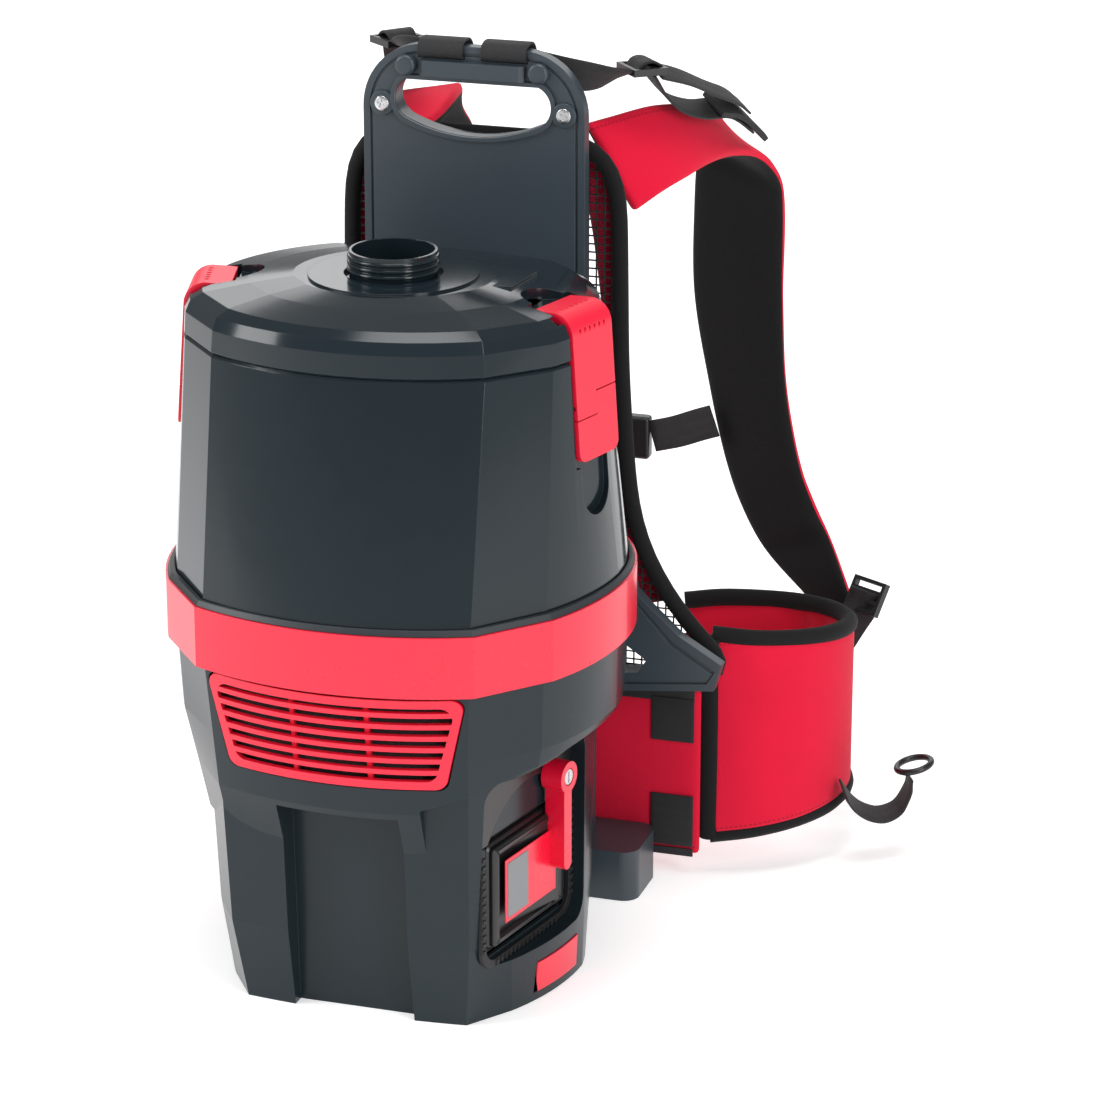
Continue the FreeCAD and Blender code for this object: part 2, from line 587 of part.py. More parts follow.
def build_grille():
    window = grille_window(75.4, 90.4, 182.6, 248.4, -200, -100)
    inner = grille_window(69.4, 84.6, 188.6, 242.4, -210, -90)
    shell_out = loft([plan("skirt", -1, 163), plan("collar", -1)])
    shell_in = loft([plan("skirt", 3.5, 163), plan("collar", 3.5)])
    skin = shell_out.cut(shell_in)
    frame = skin.common(window).cut(inner)
    slats = []
    for index in range(6):
        z = 193.5 + index * 8.4
        slats.append(skin.common(inner).common(block((-FAR, FAR), (-FAR, 0), (z, z + 3.6))))
    ribs = []
    for x in (-26, 26):
        rib = loft([plan("skirt", 3.5, 163), plan("collar", 3.5)]).cut(
            loft([plan("skirt", 7, 163), plan("collar", 7)]))
        ribs.append(rib.common(block((x - 1.5, x + 1.5), (-FAR, 0), (184, 247))))
    feature("exhaust_grille", frame.fuse(slats + ribs).removeSplitter())
    foam = loft([plan("skirt", 9, 163), plan("collar", 9)]).cut(
        loft([plan("skirt", 17, 163), plan("collar", 17)]))
    feature("exhaust_foam", foam.common(grille_window(75, 88, 183, 242, -200, -100)))


# ---------------------------------------------------------------- frame

BOARD_Y = size("board_y")


def board_outline(inset=0.0):
    """Half outlines of the frame board in front view, from the top down to the foot."""
    half, top, corner = size("board_half") - inset, size("board_top") - inset, size("board_corner") - inset
    slope = corner * (1 - math.sqrt(0.5))
    right = [Vec(half, top - corner, 0), Vec(half, 440, 0), Vec(96 - inset, 330, 0),
             Vec(120 - inset, 226, 0), Vec(152 - inset, 197 - inset, 0), Vec(184 - inset, 178 - inset, 0),
             Vec(178 - inset, 158 + inset, 0), Vec(112, 151 + inset, 0), Vec(88 - inset, 136, 0),
             Vec(88 - inset, size("foot_height") + inset, 0)]
    left = [Vec(-p.x, p.y, 0) for p in reversed(right)]
    crown_right, crown_left = Vec(half - corner, top, 0), Vec(corner - half, top, 0)
    edges = [Part.Arc(crown_right, Vec(half - slope, top - slope, 0), right[0])]
    chain = right + left
    edges += [Part.LineSegment(a, b) for a, b in zip(chain, chain[1:])]
    edges.append(Part.Arc(left[-1], Vec(slope - half, top - slope, 0), crown_left))
    edges.append(Part.LineSegment(crown_left, crown_right))
    return edges


def handle_outline(grow=0.0):
    """Grip opening: flat top, bowed lower edge."""
    half, high, low = 56 + grow, 588 + grow, 554 - grow
    return [Part.LineSegment(Vec(-half + 8, high, 0), Vec(half - 8, high, 0)),
            Part.Arc(Vec(half - 8, high, 0), Vec(half + 1, 574, 0), Vec(half - 9, low + 6, 0)),
            Part.Arc(Vec(half - 9, low + 6, 0), Vec(0, low - 4, 0), Vec(9 - half, low + 6, 0)),
            Part.Arc(Vec(9 - half, low + 6, 0), Vec(-half - 1, 574, 0), Vec(8 - half, high, 0))]


def window_outline(side):
    """Lightening window in a hip plate."""
    corners = [(98, 196), (128, 176), (122, 166), (98, 163)]
    points = [Vec(side * x, z, 0) for x, z in corners]
    return [Part.LineSegment(a, b) for a, b in zip(points, points[1:] + points[:1])]


def circle_outline(x, z, radius):
    return [Part.Circle(Vec(x, z, 0), Vec(0, 0, 1), radius)]


def sketch_on(body, name, edges):
    plane = [f for f in body.Origin.OriginFeatures if f.Role == "XZ_Plane"][0]
    sketch = body.newObject("Sketcher::SketchObject", name)
    sketch.AttachmentSupport = [(plane, "")]
    sketch.MapMode = "FlatFace"
    for edge in edges:
        sketch.addGeometry(edge, False)
    return sketch


def plate_body(name, outline, holes, depth, back_y):
    """Flat plate in front view whose back face lies at back_y and whose depth is bound to the sheet."""
    body = doc.addObject("PartDesign::Body", name)
    pad = body.newObject("PartDesign::Pad", name + "_pad")
    pad.Profile = sketch_on(body, name + "_outline", outline)
    bind(pad, Length=depth)
    doc.recompute()
    for index, hole in enumerate(holes):
        before = pad.Shape.Volume
        pocket = body.newObject("PartDesign::Pocket", "%s_hole_%d" % (name, index))
        pocket.Profile = sketch_on(body, "%s_hole_%d_outline" % (name, index), hole)
        pocket.Type = "ThroughAll"
        pocket.Reversed = True
        doc.recompute()
        if body.Shape.Volume > before - 1:
            pocket.Reversed = False
            doc.recompute()
        if body.Shape.Volume > before - 1:
            raise ValueError("hole %d cuts nothing from %s" % (index, name))
        pad = pocket
    body.Placement = Place(Vec(0, back_y, 0), Turn())
    return body


def build_frame():
    depth = size("board_depth")
    slots = [[Part.LineSegment(Vec(x0, z0, 0), Vec(x1, z1, 0)) for (x0, z0), (x1, z1) in zip(ring, ring[1:])]
             for ring in ([(side * 6, 606), (side * 40, 606), (side * 40, 603.5), (side * 6, 603.5),
                           (side * 6, 606)] for side in (1, -1))]
    screws = [circle_outline(side * size("screw_x"), size("screw_z"), 2.6) for side in (1, -1)]
    holes = [handle_outline(), window_outline(1), window_outline(-1)] + slots + screws
    board = plate_body("board", board_outline(), holes, "dims.board_depth", BOARD_Y + depth)
    groove = doc.addObject("Part::Feature", "board_groove")
    groove.Shape = Part.makeSolid(ring_solid(board_outline(5), board_outline(7), BOARD_Y - 0.5, 1.9))
    keep(cut("board_grooved", board, groove), "frame_board")
    back = BOARD_Y + depth + size("shell_depth") + 0.1
    rear_holes = [handle_outline(1), window_outline(1), window_outline(-1)] + slots
    keep(plate_body("rear", board_outline(4), rear_holes, "dims.shell_depth", back), "frame_rear_shell")
    feature("grip_rim", Part.makeSolid(ring_solid(handle_outline(3.2), handle_outline(0.2), BOARD_Y - 2.6, 2.5)))
    half, low, high = size("foot_half"), 0, size("foot_height")
    foot = block((-half, half), (size("foot_front"), size("foot_back")), (low, high))
    foot = foot.makeFillet(12, [e for e in foot.Edges if abs(e.tangentAt(0).z) > 0.9])
    feature("frame_foot", foot)
    bar = block((-38, 38), (BOARD_Y - 6.5, BOARD_Y - 0.1), (591.4, 602.6))
    bar = bar.makeChamfer(3, [e for e in bar.Edges if abs(e.tangentAt(0).z) > 0.9 and e.CenterOfMass.y < BOARD_Y - 6])
    feature("strap_bar", bar)
    studs, screws = [], []
    for side in (1, -1):
        x = side * size("stud_x")
        stud = rod((x, BOARD_Y - 4.6, size("stud_z") + 0.3), (x, BOARD_Y - 0.05, size("stud_z") + 0.3), 6.6)
        studs.append(stud.makeFillet(2, [e for e in stud.Edges if e.CenterOfMass.y < BOARD_Y - 4.5]))
        x = side * size("screw_x")
        shank = rod((x, BOARD_Y - 0.1, size("screw_z")), (x, BOARD_Y + 9.8, size("screw_z")), 2.5)
        screws.append(rod((x, BOARD_Y - 2.4, size("screw_z")), (x, BOARD_Y - 0.1, size("screw_z")), 5).fuse(shank))
    feature("frame_fasteners", Part.makeCompound(studs + screws))
    blocks = [block((x - 14, x + 14), (y, BOARD_Y - 0.1), (z - 10, z + 10))
              for x, y, z in ((-60, 141.3, 225), (60, 141.3, 225), (-40, 146.2, 272), (40, 146.2, 272))]
    for index in (0, 1):
        blocks[index] = blocks[index].cut(housing_outside())
    for index in (2, 3):
        blocks[index] = blocks[index].cut(loft([plan("band", -0.1, 240), plan("band", -0.1, 300)]))
    feature("canister_brackets", Part.makeCompound(blocks))


def ring_solid(outer, inner, y, depth):
    def face(edges):
        wire = Part.Wire([e.toShape() for e in edges])
        wire.rotate(Vec(0, 0, 0), X_DIR, 90)
        wire.translate(Vec(0, y, 0))
        return Part.Face(wire).extrude(Vec(0, depth, 0))
    return face(outer).cut(face(inner)).Solids[0].Shells[0]


# ---------------------------------------------------------------- harness

PANEL_Y = size("panel_y")
PAD = size("pad_thick")
# Outer edge of the back panel in front view, from the top down.
PANEL_EDGE = [(60, 552), (78, 546), (94, 536), (104, 518), (105, 454), (106, 386), (111, 310), (116, 272),
              (126, 244), (141, 220), (156, 200), (172, 184), (186, 172)]


def panel_loop(inset):
    right = [(x - inset, z) for x, z in PANEL_EDGE]
    right[0] = (right[0][0], right[0][1] - inset)
    low = 152 + inset
    right.append((right[-1][0], low + 8))
    right.append((right[-1][0] - 10, low))
    return right + [(-x, z) for x, z in reversed(right)]


def panel_solid(inset, y, depth):
    points = [(x, y, z) for x, z in panel_loop(inset)]
    return Part.Face(polygon(points)).extrude(Vec(0, depth, 0))


def build_back_panel():
    feature("back_mesh", panel_solid(10.6, PANEL_Y, 2.5))
    binding = panel_solid(0, PANEL_Y - 2.5, 9).cut(panel_solid(10.4, PANEL_Y - 5, 20))
    feature("panel_binding", binding)
    columns = []
    for side in (1, -1):
        points = [(side * x, PANEL_Y + 3, z) for x, z in
                  ((92, 505), (92, 340), (102, 262), (130, 208), (108, 208), (84, 262), (76, 340), (76, 505))]
        columns.append(Part.Face(polygon(points)).extrude(Vec(0, 9, 0)))
    feature("back_cushions", Part.makeCompound(columns))
    lumbar = block((-150, 150), (PANEL_Y + 13, PANEL_Y + 27), (20, 142))
    feature("lumbar_pad", lumbar.makeFillet(5, lumbar.Edges))
    shell = block((-158, 158), (PANEL_Y + 9.5, PANEL_Y + 12.6), (14, 150))
    feature("lumbar_shell", shell)
    patches = []
    for side in (1, -1):
        for low, high in ((108, 146), (20, 64)):
            x_range = sorted((side * 124, side * 156))
            patches.append(block(x_range, (PANEL_Y + 6.8, PANEL_Y + 9.3), (low, high)))
    feature("lumbar_webbing", Part.makeCompound(patches))


# Outer and inner edge points of the right shoulder pad, from its root on the back panel over
# the shoulder and down to its tip at the hip.
PAD_EDGES = [
    ((104, 203, 494), (70, 203, 556)), ((120, 222, 505), (84, 224, 558)), ((131, 252, 511), (100, 254, 559)),
    ((136, 292, 512), (112, 298, 552)), ((142, 334, 509), (116, 345, 541)), ((150, 374, 499), (106, 392, 515)),
    ((158, 402, 478), (90, 420, 490)), ((161, 413, 450), (86, 424, 452)), ((164, 412, 381), (88, 422, 380)),
    ((168, 410, 319), (102, 420, 308)), ((178, 407, 265), (116, 418, 252)), ((192, 401, 224), (132, 414, 212)),
    ((210, 388, 192), (158, 402, 178)), ((232, 358, 160), (206, 372, 146)),
]


# The left pad lies flatter over the shoulder and closer to the middle.
LEFT_PAD_EDGES = [
    ((-84, 204, 511), (-44, 204, 548)), ((-92, 222, 532), (-42, 224, 551)), ((-96, 252, 545), (-44, 254, 554)),
    ((-102, 292, 541), (-54, 298, 550)), ((-112, 334, 528), (-70, 345, 540)), ((-126, 374, 508), (-84, 392, 514)),
    ((-140, 402, 480), (-84, 420, 490)), ((-152, 413, 450), (-84, 424, 452)), ((-160, 412, 381), (-88, 422, 380)),
    ((-168, 410, 319), (-102, 420, 308)), ((-171, 407, 265), (-106, 418, 252)), ((-177, 401, 224), (-114, 414, 212)),
    ((-188, 388, 192), (-134, 402, 178)), ((-204, 358, 160), (-175, 372, 146)),
]
# The left side of the harness hangs closer to the middle, by this much at hip height.
LEFT_TUCK = 30


def build_pads():
    feature("right_shoulder_pad", ribbon(PAD_EDGES, PAD))
    feature("left_shoulder_pad", ribbon(LEFT_PAD_EDGES, PAD))


def belt_wing(route, high_in, high_out, low_in, low_out):
    """Hip wing: a curved padded wall whose height shrinks towards its tip."""
    sections = []
    points = [Vec(x, y, 0) for x, y in route]
    for index, point in enumerate(points):
        along = points[min(index + 1, len(points) - 1)] - points[max(index - 1, 0)]
        out = Vec(along.y, -along.x, 0).normalize() * (size("belt_thick") / 2)
        share = index / (len(points) - 1)
        low, high = low_in + (low_out - low_in) * share, high_in + (high_out - high_in) * share
        a, b = point + out, point - out
        sections.append(polygon([(a.x, a.y, low), (a.x, a.y, high), (b.x, b.y, high), (b.x, b.y, low)]))
    return loft(sections)


RIGHT_WING = [(166, 205), (196, 214), (224, 234), (243, 262), (246, 296), (226, 326), (190, 344), (140, 346),
              (108, 338)]
LEFT_WING = [(-166, 205), (-190, 216), (-208, 238), (-218, 268), (-214, 302), (-194, 330), (-160, 346),
             (-124, 350), (-100, 344)]


def build_belt():
    feature("right_hip_wing", belt_wing(RIGHT_WING, 186, 160, 30, 64))
    feature("left_hip_wing", belt_wing(LEFT_WING, 184, 158, 30, 64))
    tail = strap([(260, 250, 54), (266, 258, 42), (277, 268, 36), (289, 278, 38), (297, 285, 54)], 25, 2,
                 (-0.35, 0.93, 0.1))
    other = strap([(-232, 262, 60), (-238, 270, 48), (-248, 282, 42), (-256, 290, 50)], 25, 2, (0.4, 0.9, 0.1))
    ring = Part.makeTorus(13, 2.4, Vec(0, 0, 0), Z_DIR)
    ring.rotate(Vec(0, 0, 0), Vec(0.3, -0.9, 0), 14)
    ring.translate(Vec(299, 290, 68))
    feature("belt_ring", ring)
    return [tail, other]


def lock_shape(centre, turn):
    """Ladder lock: a frame with two bars that grip the webbing."""
    frame = block((-16, 16), (-13, 13), (-2.5, 2.5)).cut(block((-13, 13), (-10, 10), (-4, 4)))
    bars = [block((-13.5, 13.5), (y - 1.6, y + 1.6), (-2.5, 2.5)) for y in (-3.4, 4.2)]
    shape = frame.fuse(bars).removeSplitter()
    shape.Placement = Place(Vec(*centre), turn)
    return shape


def build_straps(belt_tails):
    webbing, locks = list(belt_tails), []
    for side in (1, -1):
        lifter = strap([(30, 189, 600), (66, 194, 602), (92, 222, 596)], 22, 2, (0.15, -0.1, 1))
        drop = strap([(108, 246, 581), (115, 262, 566), (126, 292, 551.5), (141, 328, 541.5)], 22, 2,
                     (-0.75, 0.42, 0.5))
        lower = strap([(254, 322, 192), (259, 308, 182), (262, 292, 150), (262, 278, 118)], 22, 2, (0.1, 1, 0))
        if side < 0:
            lifter = strap([(30, 189, 600), (56, 194, 605), (69, 222, 605)], 22, 2, (0.15, -0.1, 1))
            drop = strap([(84, 246, 591), (88, 262, 578), (90, 292, 566), (98, 328, 552)], 22, 2, (-0.6, 0.3, 0.3))
            lower.translate(Vec(6 - LEFT_TUCK, 0, 0))
        webbing += [s if side > 0 else mirrored(s) for s in (lifter, drop, lower)]
        top = lock_shape((102, 233, 591), Turn(Z_DIR, -50))
        low = lock_shape((248, 340, 178), Turn(Z_DIR, -30).multiply(Turn(X_DIR, 60)))
        if side < 0:
            top.translate(Vec(-23, 0, 9))
            low.translate(Vec(-LEFT_TUCK, 0, 0))
        locks += [s if side > 0 else mirrored(s) for s in (top, low)]
    right = strap([(98, 404, 278), (80, 408, 270), (60, 410, 264)], 24, 2, (0, 0, 1))
    left = strap([(-98, 404, 278), (-60, 410, 270), (8, 411, 262)], 24, 2, (0, 0, 1))
    feature("harness_webbing", Part.makeCompound(webbing + [right, left]))
    feature("ladder_locks", Part.makeCompound(locks))
    socket = block((34, 59), (404, 416), (246, 280))
    feature("sternum_socket", socket.makeFillet(3, socket.Edges))
    prongs = block((9, 33.7), (405.5, 414.5), (248, 278))
    feature("sternum_clip", prongs.makeFillet(2.5, prongs.Edges))


# ---------------------------------------------------------------- build and export

outside_shape = build_lower_housing()
build_band_and_bin()
build_lid()
build_neck()
build_latches()
build_dust_parts()
build_motor()
build_battery_side()
build_battery_lever()
build_button(outside_shape)
build_grille()
build_frame()
build_back_panel()
build_pads()
build_straps(build_belt())
doc.recompute()


def check_and_export():
    for obj in doc.Objects:
        if "Invalid" in obj.State or "Error" in obj.State:
            raise ValueError("%s failed to compute" % obj.Name)
    for node, obj in nodes.items():
        if obj.Shape.isNull() or not obj.Shape.isValid() or obj.Shape.Volume <= 0:
            raise ValueError("%s has no valid solid" % node)
    os.makedirs("parts", exist_ok=True)
    for node, obj in nodes.items():
        obj.Shape.exportStep("parts/%s.step" % node)
        bounds = obj.Shape.BoundBox
        print("%-20s solids %2d  volume %9.1f cm3  x %6.1f %6.1f  y %6.1f %6.1f  z %6.1f %6.1f" % (
            node, len(obj.Shape.Solids), obj.Shape.Volume / 1000, bounds.XMin, bounds.XMax,
            bounds.YMin, bounds.YMax, bounds.ZMin, bounds.ZMax))
    print(len(nodes), "nodes")


check_and_export()
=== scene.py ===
# %% [markdown]
# # Backpack vacuum cleaner
# The machine is a slate plastic canister with a red band, red latches and a red exhaust grille.
# It hangs on a grey plastic frame with a padded harness.  The measured model comes in first and
# stays where it is: everything soft, woven or finely detailed is then made around it.

# %% Load the measured model
import math

import bmesh
import bpy
from mathutils import Matrix, Vector


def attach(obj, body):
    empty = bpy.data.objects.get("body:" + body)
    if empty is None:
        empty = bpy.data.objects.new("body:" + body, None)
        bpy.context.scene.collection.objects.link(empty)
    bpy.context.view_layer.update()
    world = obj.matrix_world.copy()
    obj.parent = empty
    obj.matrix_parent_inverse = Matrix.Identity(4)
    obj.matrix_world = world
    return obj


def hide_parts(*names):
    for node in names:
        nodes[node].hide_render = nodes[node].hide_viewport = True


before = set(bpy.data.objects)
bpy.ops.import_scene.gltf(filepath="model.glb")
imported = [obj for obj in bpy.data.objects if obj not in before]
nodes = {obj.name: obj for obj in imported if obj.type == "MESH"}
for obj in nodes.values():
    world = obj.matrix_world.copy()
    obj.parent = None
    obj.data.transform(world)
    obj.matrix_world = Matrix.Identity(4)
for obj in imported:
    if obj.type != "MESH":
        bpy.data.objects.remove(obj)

bpy.context.view_layer.update()
BODY = "frame_and_canister"

# %% [markdown]
# ## Materials as arithmetic
# A material is a graph of small nodes.  Drawing long chains of Math nodes by hand is slow, so one
# class wraps a socket and lets Python's own operators add those nodes.  Everything else comes
# from its one method, which takes the node's type, its settings and its inputs.

# %% A socket that can be added and multiplied
class Flow:
    """A value on its way through a material."""

    def __init__(self, tree, socket=None):
        self.tree, self.socket = tree, socket

    def node(self, kind, settings=None, inputs=None, output=0):
        made = self.tree.nodes.new(kind)
        for key, value in (settings or {}).items():
            if key == "stops":
                ramp = made.color_ramp.elements
                while len(ramp) < len(value):
                    ramp.new(0.5)
                for element, (where, shade) in zip(ramp, value):
                    element.position, element.color = where, (*shade, 1)
            else:
                setattr(made, key, value)
        for key, value in (inputs or {}).items():
            if isinstance(value, Flow):
                self.tree.links.new(value.socket, made.inputs[key])
            else:
                made.inputs[key].default_value = value
        return Flow(self.tree, made.outputs[output])

    def maths(self, operation, *values):
        return self.node("ShaderNodeMath", {"operation": operation}, dict(enumerate(values)))

    def __add__(self, other):
        return self.maths("ADD", self, other)

    def __sub__(self, other):
        return self.maths("SUBTRACT", self, other)

    def __rsub__(self, other):
        return self.maths("SUBTRACT", other, self)

    def __mul__(self, other):
        return self.maths("MULTIPLY", self, other)

    def __gt__(self, other):
        return self.maths("GREATER_THAN", self, other)

    __radd__, __rmul__ = __add__, __mul__


def wave(flow, length):
    """Ripple between 0 and 1 that repeats every length metres."""
    return flow.maths("SINE", flow * (2 * math.pi / length)) * 0.5 + 0.5


def new_material(name):
    material = bpy.data.materials.new(name)
    material.use_nodes = True
    shader = material.node_tree.nodes["Principled BSDF"]
    return material, shader, Flow(material.node_tree)


def mixed(flow, share, first, second):
    """Colour between first and second; each is an RGB triple or a Flow."""
    ends = [c if isinstance(c, Flow) else (*c, 1) for c in (first, second)]
    return flow.node("ShaderNodeMix", {"data_type": "RGBA"}, {0: share, 6: ends[0], 7: ends[1]}, 2)


def plug(flow, shader, **inputs):
    for name, value in inputs.items():
        socket = shader.inputs[name.replace("_", " ")]
        if isinstance(value, Flow):
            flow.tree.links.new(value.socket, socket)
        else:
            socket.default_value = value


# %% [markdown]
# ## Moulded plastic
# The housings are injection moulded: nearly even in colour, glossy, with softly rounded edges.
# A Bevel node rounds the edges in the light, and the difference between its normal and the true
# one marks the edges, which get a painted highlight: a little paler in colour, and a little duller.

# %% Plastics, rubber and metal
EDGE_RADIUS = 0.0007
EDGE_GAIN = 2.5


def moulded(name, colour, roughness, coat=0.0, grain=0.02, grain_size=900, metal=0.0, shine=0.5):
    """Plastic or metal with rounded edges, paler there as a painted highlight and a little duller;
    grain is the strength of its bump.
    """
    material, shader, flow = new_material(name)
    place = flow.node("ShaderNodeTexCoord", output="Object")
    cloud = flow.node("ShaderNodeTexNoise", inputs={"Vector": place, "Scale": 14, "Detail": 4})
    fine = flow.node("ShaderNodeTexNoise",
                     inputs={"Vector": place, "Scale": grain_size, "Detail": 2})
    rounded = flow.node("ShaderNodeBevel", {"samples": 4}, {"Radius": EDGE_RADIUS})
    flat = flow.node("ShaderNodeNewGeometry", output="Normal")
    along = flow.node("ShaderNodeVectorMath", {"operation": "DOT_PRODUCT"},
                      {0: rounded, 1: flat}, 1)
    # Painted highlight: this edge mask mixes the colour towards a paler one, and it also raises the
    # roughness.
    edge_highlight_mask = flow.maths("MINIMUM", (1 - along) * EDGE_GAIN, 1)
    pale = [c + 0.1 * (0.5 - c) for c in colour]
    dark, light = [c * 0.93 for c in colour], [min(c * 1.07, 1) for c in colour]
    base = mixed(flow, cloud, dark, light)
    bump = flow.node("ShaderNodeBump", inputs={"Strength": grain, "Distance": 0.0004,
                                               "Height": fine, "Normal": rounded})
    plug(flow, shader, Base_Color=mixed(flow, edge_highlight_mask * 0.5, base, pale), Normal=bump, Metallic=metal,
         Roughness=cloud * 0.06 + edge_highlight_mask * 0.12 + (roughness - 0.03), Coat_Weight=coat)
    shader.inputs["Coat Roughness"].default_value = 0.08
    shader.inputs["Specular IOR Level"].default_value = shine
    return material


SLATE = (0.010, 0.017, 0.022)
RED = (0.80, 0.004, 0.034)
slate_gloss = moulded("slate_gloss", SLATE, 0.14, coat=0.15, grain=0.015, shine=0.27)
slate_satin = moulded("slate_satin", (0.011, 0.019, 0.024), 0.24, grain=0.05, shine=0.27)
frame_plastic = moulded("frame_plastic", (0.033, 0.046, 0.057), 0.36, grain=0.08)
red_gloss = moulded("red_gloss", RED, 0.28, coat=0.15, grain=0.02)
red_latch = moulded("red_latch", (0.82, 0.006, 0.036), 0.36, grain=0.06)
black_satin = moulded("black_satin", (0.011, 0.011, 0.012), 0.32, grain=0.08)
black_matte = moulded("black_matte", (0.014, 0.014, 0.015), 0.55, grain=0.2)
seal_rubber = moulded("seal_rubber", (0.010, 0.010, 0.011), 0.6, grain=0.25, grain_size=500)
bead_rubber = moulded("bead_rubber", (0.022, 0.027, 0.032), 0.45, grain=0.1)
bright_steel = moulded("bright_steel", (0.62, 0.62, 0.63), 0.25, grain=0.05, metal=1.0)
motor_metal = moulded("motor_metal", (0.55, 0.56, 0.57), 0.35, grain=0.1, metal=1.0)
winding_iron = moulded("winding_iron", (0.25, 0.12, 0.06), 0.45, grain=0.3, metal=0.8)
brass_plate = moulded("brass_plate", (0.72, 0.50, 0.20), 0.3, metal=1.0)
board_green = moulded("board_green", (0.02, 0.16, 0.06), 0.4)

# %% [markdown]
# ## Cloth, webbing and foam
# Woven cloth shows its threads only close up, but they decide how it takes the light.  Each cloth
# piece carries a UV map called weave, in metres across and along the cut strip, so threads follow
# the piece round every curve.  Ripples in the two directions are multiplied into a twill or a
# herringbone, which tints the colour a little and feeds a Bump node.

# %% Cloth finishes
STITCH_LENGTH = 0.0034
STITCH_HALF_WIDTH = 0.0009
KNIT = 0.0016
OUTER_SIDE = 0.42


def weave_flow(flow):
    """The two distances over a strip, across and along, in metres."""
    uv = flow.node("ShaderNodeUVMap", {"uv_map": "weave"})
    return [flow.node("ShaderNodeSeparateXYZ", inputs={0: uv}, output=k) for k in (0, 1)]


def cloth(name, colour, thread=0.0011, strength=0.5, sheen=0.3, lining=None, wrinkle=0.3,
          stitch=0.0):
    """Twill cloth with a seam at stitch metres from its edges, if stitch isn't 0.

    The lining, if given, is the colour of the side where the attribute outer is 0.
    """
    material, shader, flow = new_material(name)
    across, along = weave_flow(flow)
    twill = wave(across + along * 0.6, thread) * wave(along - across * 0.3, thread * 0.7)
    place = flow.node("ShaderNodeTexCoord", output="Object")
    cloud = flow.node("ShaderNodeTexNoise", inputs={"Vector": place, "Scale": 22, "Detail": 5})
    crease = flow.node("ShaderNodeTexNoise", inputs={"Vector": place, "Scale": 60, "Detail": 3,
                                                     "Distortion": 0.8})
    dark, light = [c * 0.78 for c in colour], [min(c * 1.15, 1) for c in colour]
    shade = mixed(flow, twill * 0.55 + cloud * 0.45, dark, light)
    height = twill * 0.25 + crease * wrinkle
    if stitch:
        width = flow.node("ShaderNodeAttribute", {"attribute_name": "edge_gap"}, output=2)
        line = flow.maths("COMPARE", width, stitch, STITCH_HALF_WIDTH)
        dash = line * (wave(along, STITCH_LENGTH) > 0.3)
        shade = mixed(flow, dash * 0.6, shade, [c * 0.45 for c in colour])
        height = height - line * 0.5 + dash * 0.4
    if lining:
        side = flow.node("ShaderNodeAttribute", {"attribute_name": "outer"}, output=2)
        outer = side > OUTER_SIDE
        knit = wave(across, KNIT) * wave(along, KNIT)
        inside = mixed(flow, knit, lining, [c * 2.2 for c in lining])
        shade = mixed(flow, outer, inside, shade)
    bump = flow.node("ShaderNodeBump", inputs={"Strength": strength, "Distance": 0.0012,
                                               "Height": height})
    plug(flow, shader, Base_Color=shade, Normal=bump, Roughness=0.85)
    shader.inputs["Sheen Weight"].default_value = sheen
    shader.inputs["Specular IOR Level"].default_value = 0.25
    return material


RIB = 0.0016
RIB_TURN = 0.0042
TAPE_THREAD = 0.0009


def webbing_finish(name, colour):
    """Woven tape: a herringbone of slanted ribs that turns back every few millimetres."""
    material, shader, flow = new_material(name)
    across, along = weave_flow(flow)
    fold = flow.maths("PINGPONG", across, RIB_TURN)
    ribs = wave(along + fold * 0.8, RIB)
    threads = wave(across, TAPE_THREAD)
    place = flow.node("ShaderNodeTexCoord", output="Object")
    cloud = flow.node("ShaderNodeTexNoise", inputs={"Vector": place, "Scale": 40, "Detail": 3})
    height = ribs * 0.7 + threads * 0.3
    dark, light = [c * 0.5 for c in colour], [c * 2.4 for c in colour]
    shade = mixed(flow, height * 0.6 + cloud * 0.4, dark, light)
    bump = flow.node("ShaderNodeBump",
                     inputs={"Strength": 0.6, "Distance": 0.0006, "Height": height})
    plug(flow, shader, Base_Color=shade, Normal=bump, Roughness=0.7)
    shader.inputs["Sheen Weight"].default_value = 0.04
    return material


red_cloth = cloth("red_cloth", (0.74, 0.003, 0.036), stitch=0.006, sheen=0.08)
pad_cloth = cloth("pad_cloth", (0.76, 0.003, 0.036), lining=(0.003, 0.003, 0.0035), stitch=0.006,
                  sheen=0.04)
red_spacer = cloth("red_spacer", (0.55, 0.003, 0.035), thread=0.0028, strength=0.8)
black_cloth = cloth("black_cloth", (0.006, 0.006, 0.007), thread=0.0014, sheen=0.05)
black_webbing = webbing_finish("black_webbing", (0.006, 0.006, 0.007))
net_cord = cloth("net_cord", (0.010, 0.010, 0.011), thread=0.0008, sheen=0.1, wrinkle=0.0)


def open_foam(name, colour, size=1400):
    material, shader, flow = new_material(name)
    place = flow.node("ShaderNodeTexCoord", output="Object")
    cells = flow.node("ShaderNodeTexVoronoi", inputs={"Vector": place, "Scale": size})
    bump = flow.node("ShaderNodeBump",
                     inputs={"Strength": 0.8, "Distance": 0.001, "Height": cells})
    plug(flow, shader, Normal=bump, Roughness=0.95,
         Base_Color=mixed(flow, cells, [c * 0.4 for c in colour], [c * 1.4 for c in colour]))
    return material


filter_foam = open_foam("filter_foam", (0.03, 0.03, 0.032))
filter_cloth = open_foam("filter_cloth", (0.70, 0.68, 0.62), 900)

# %% [markdown]
# ## Finishes for the measured parts
# The rigid parts keep their measured shape, so they only need a finish.  Assigning it to the
# object's own slot leaves the mesh untouched.

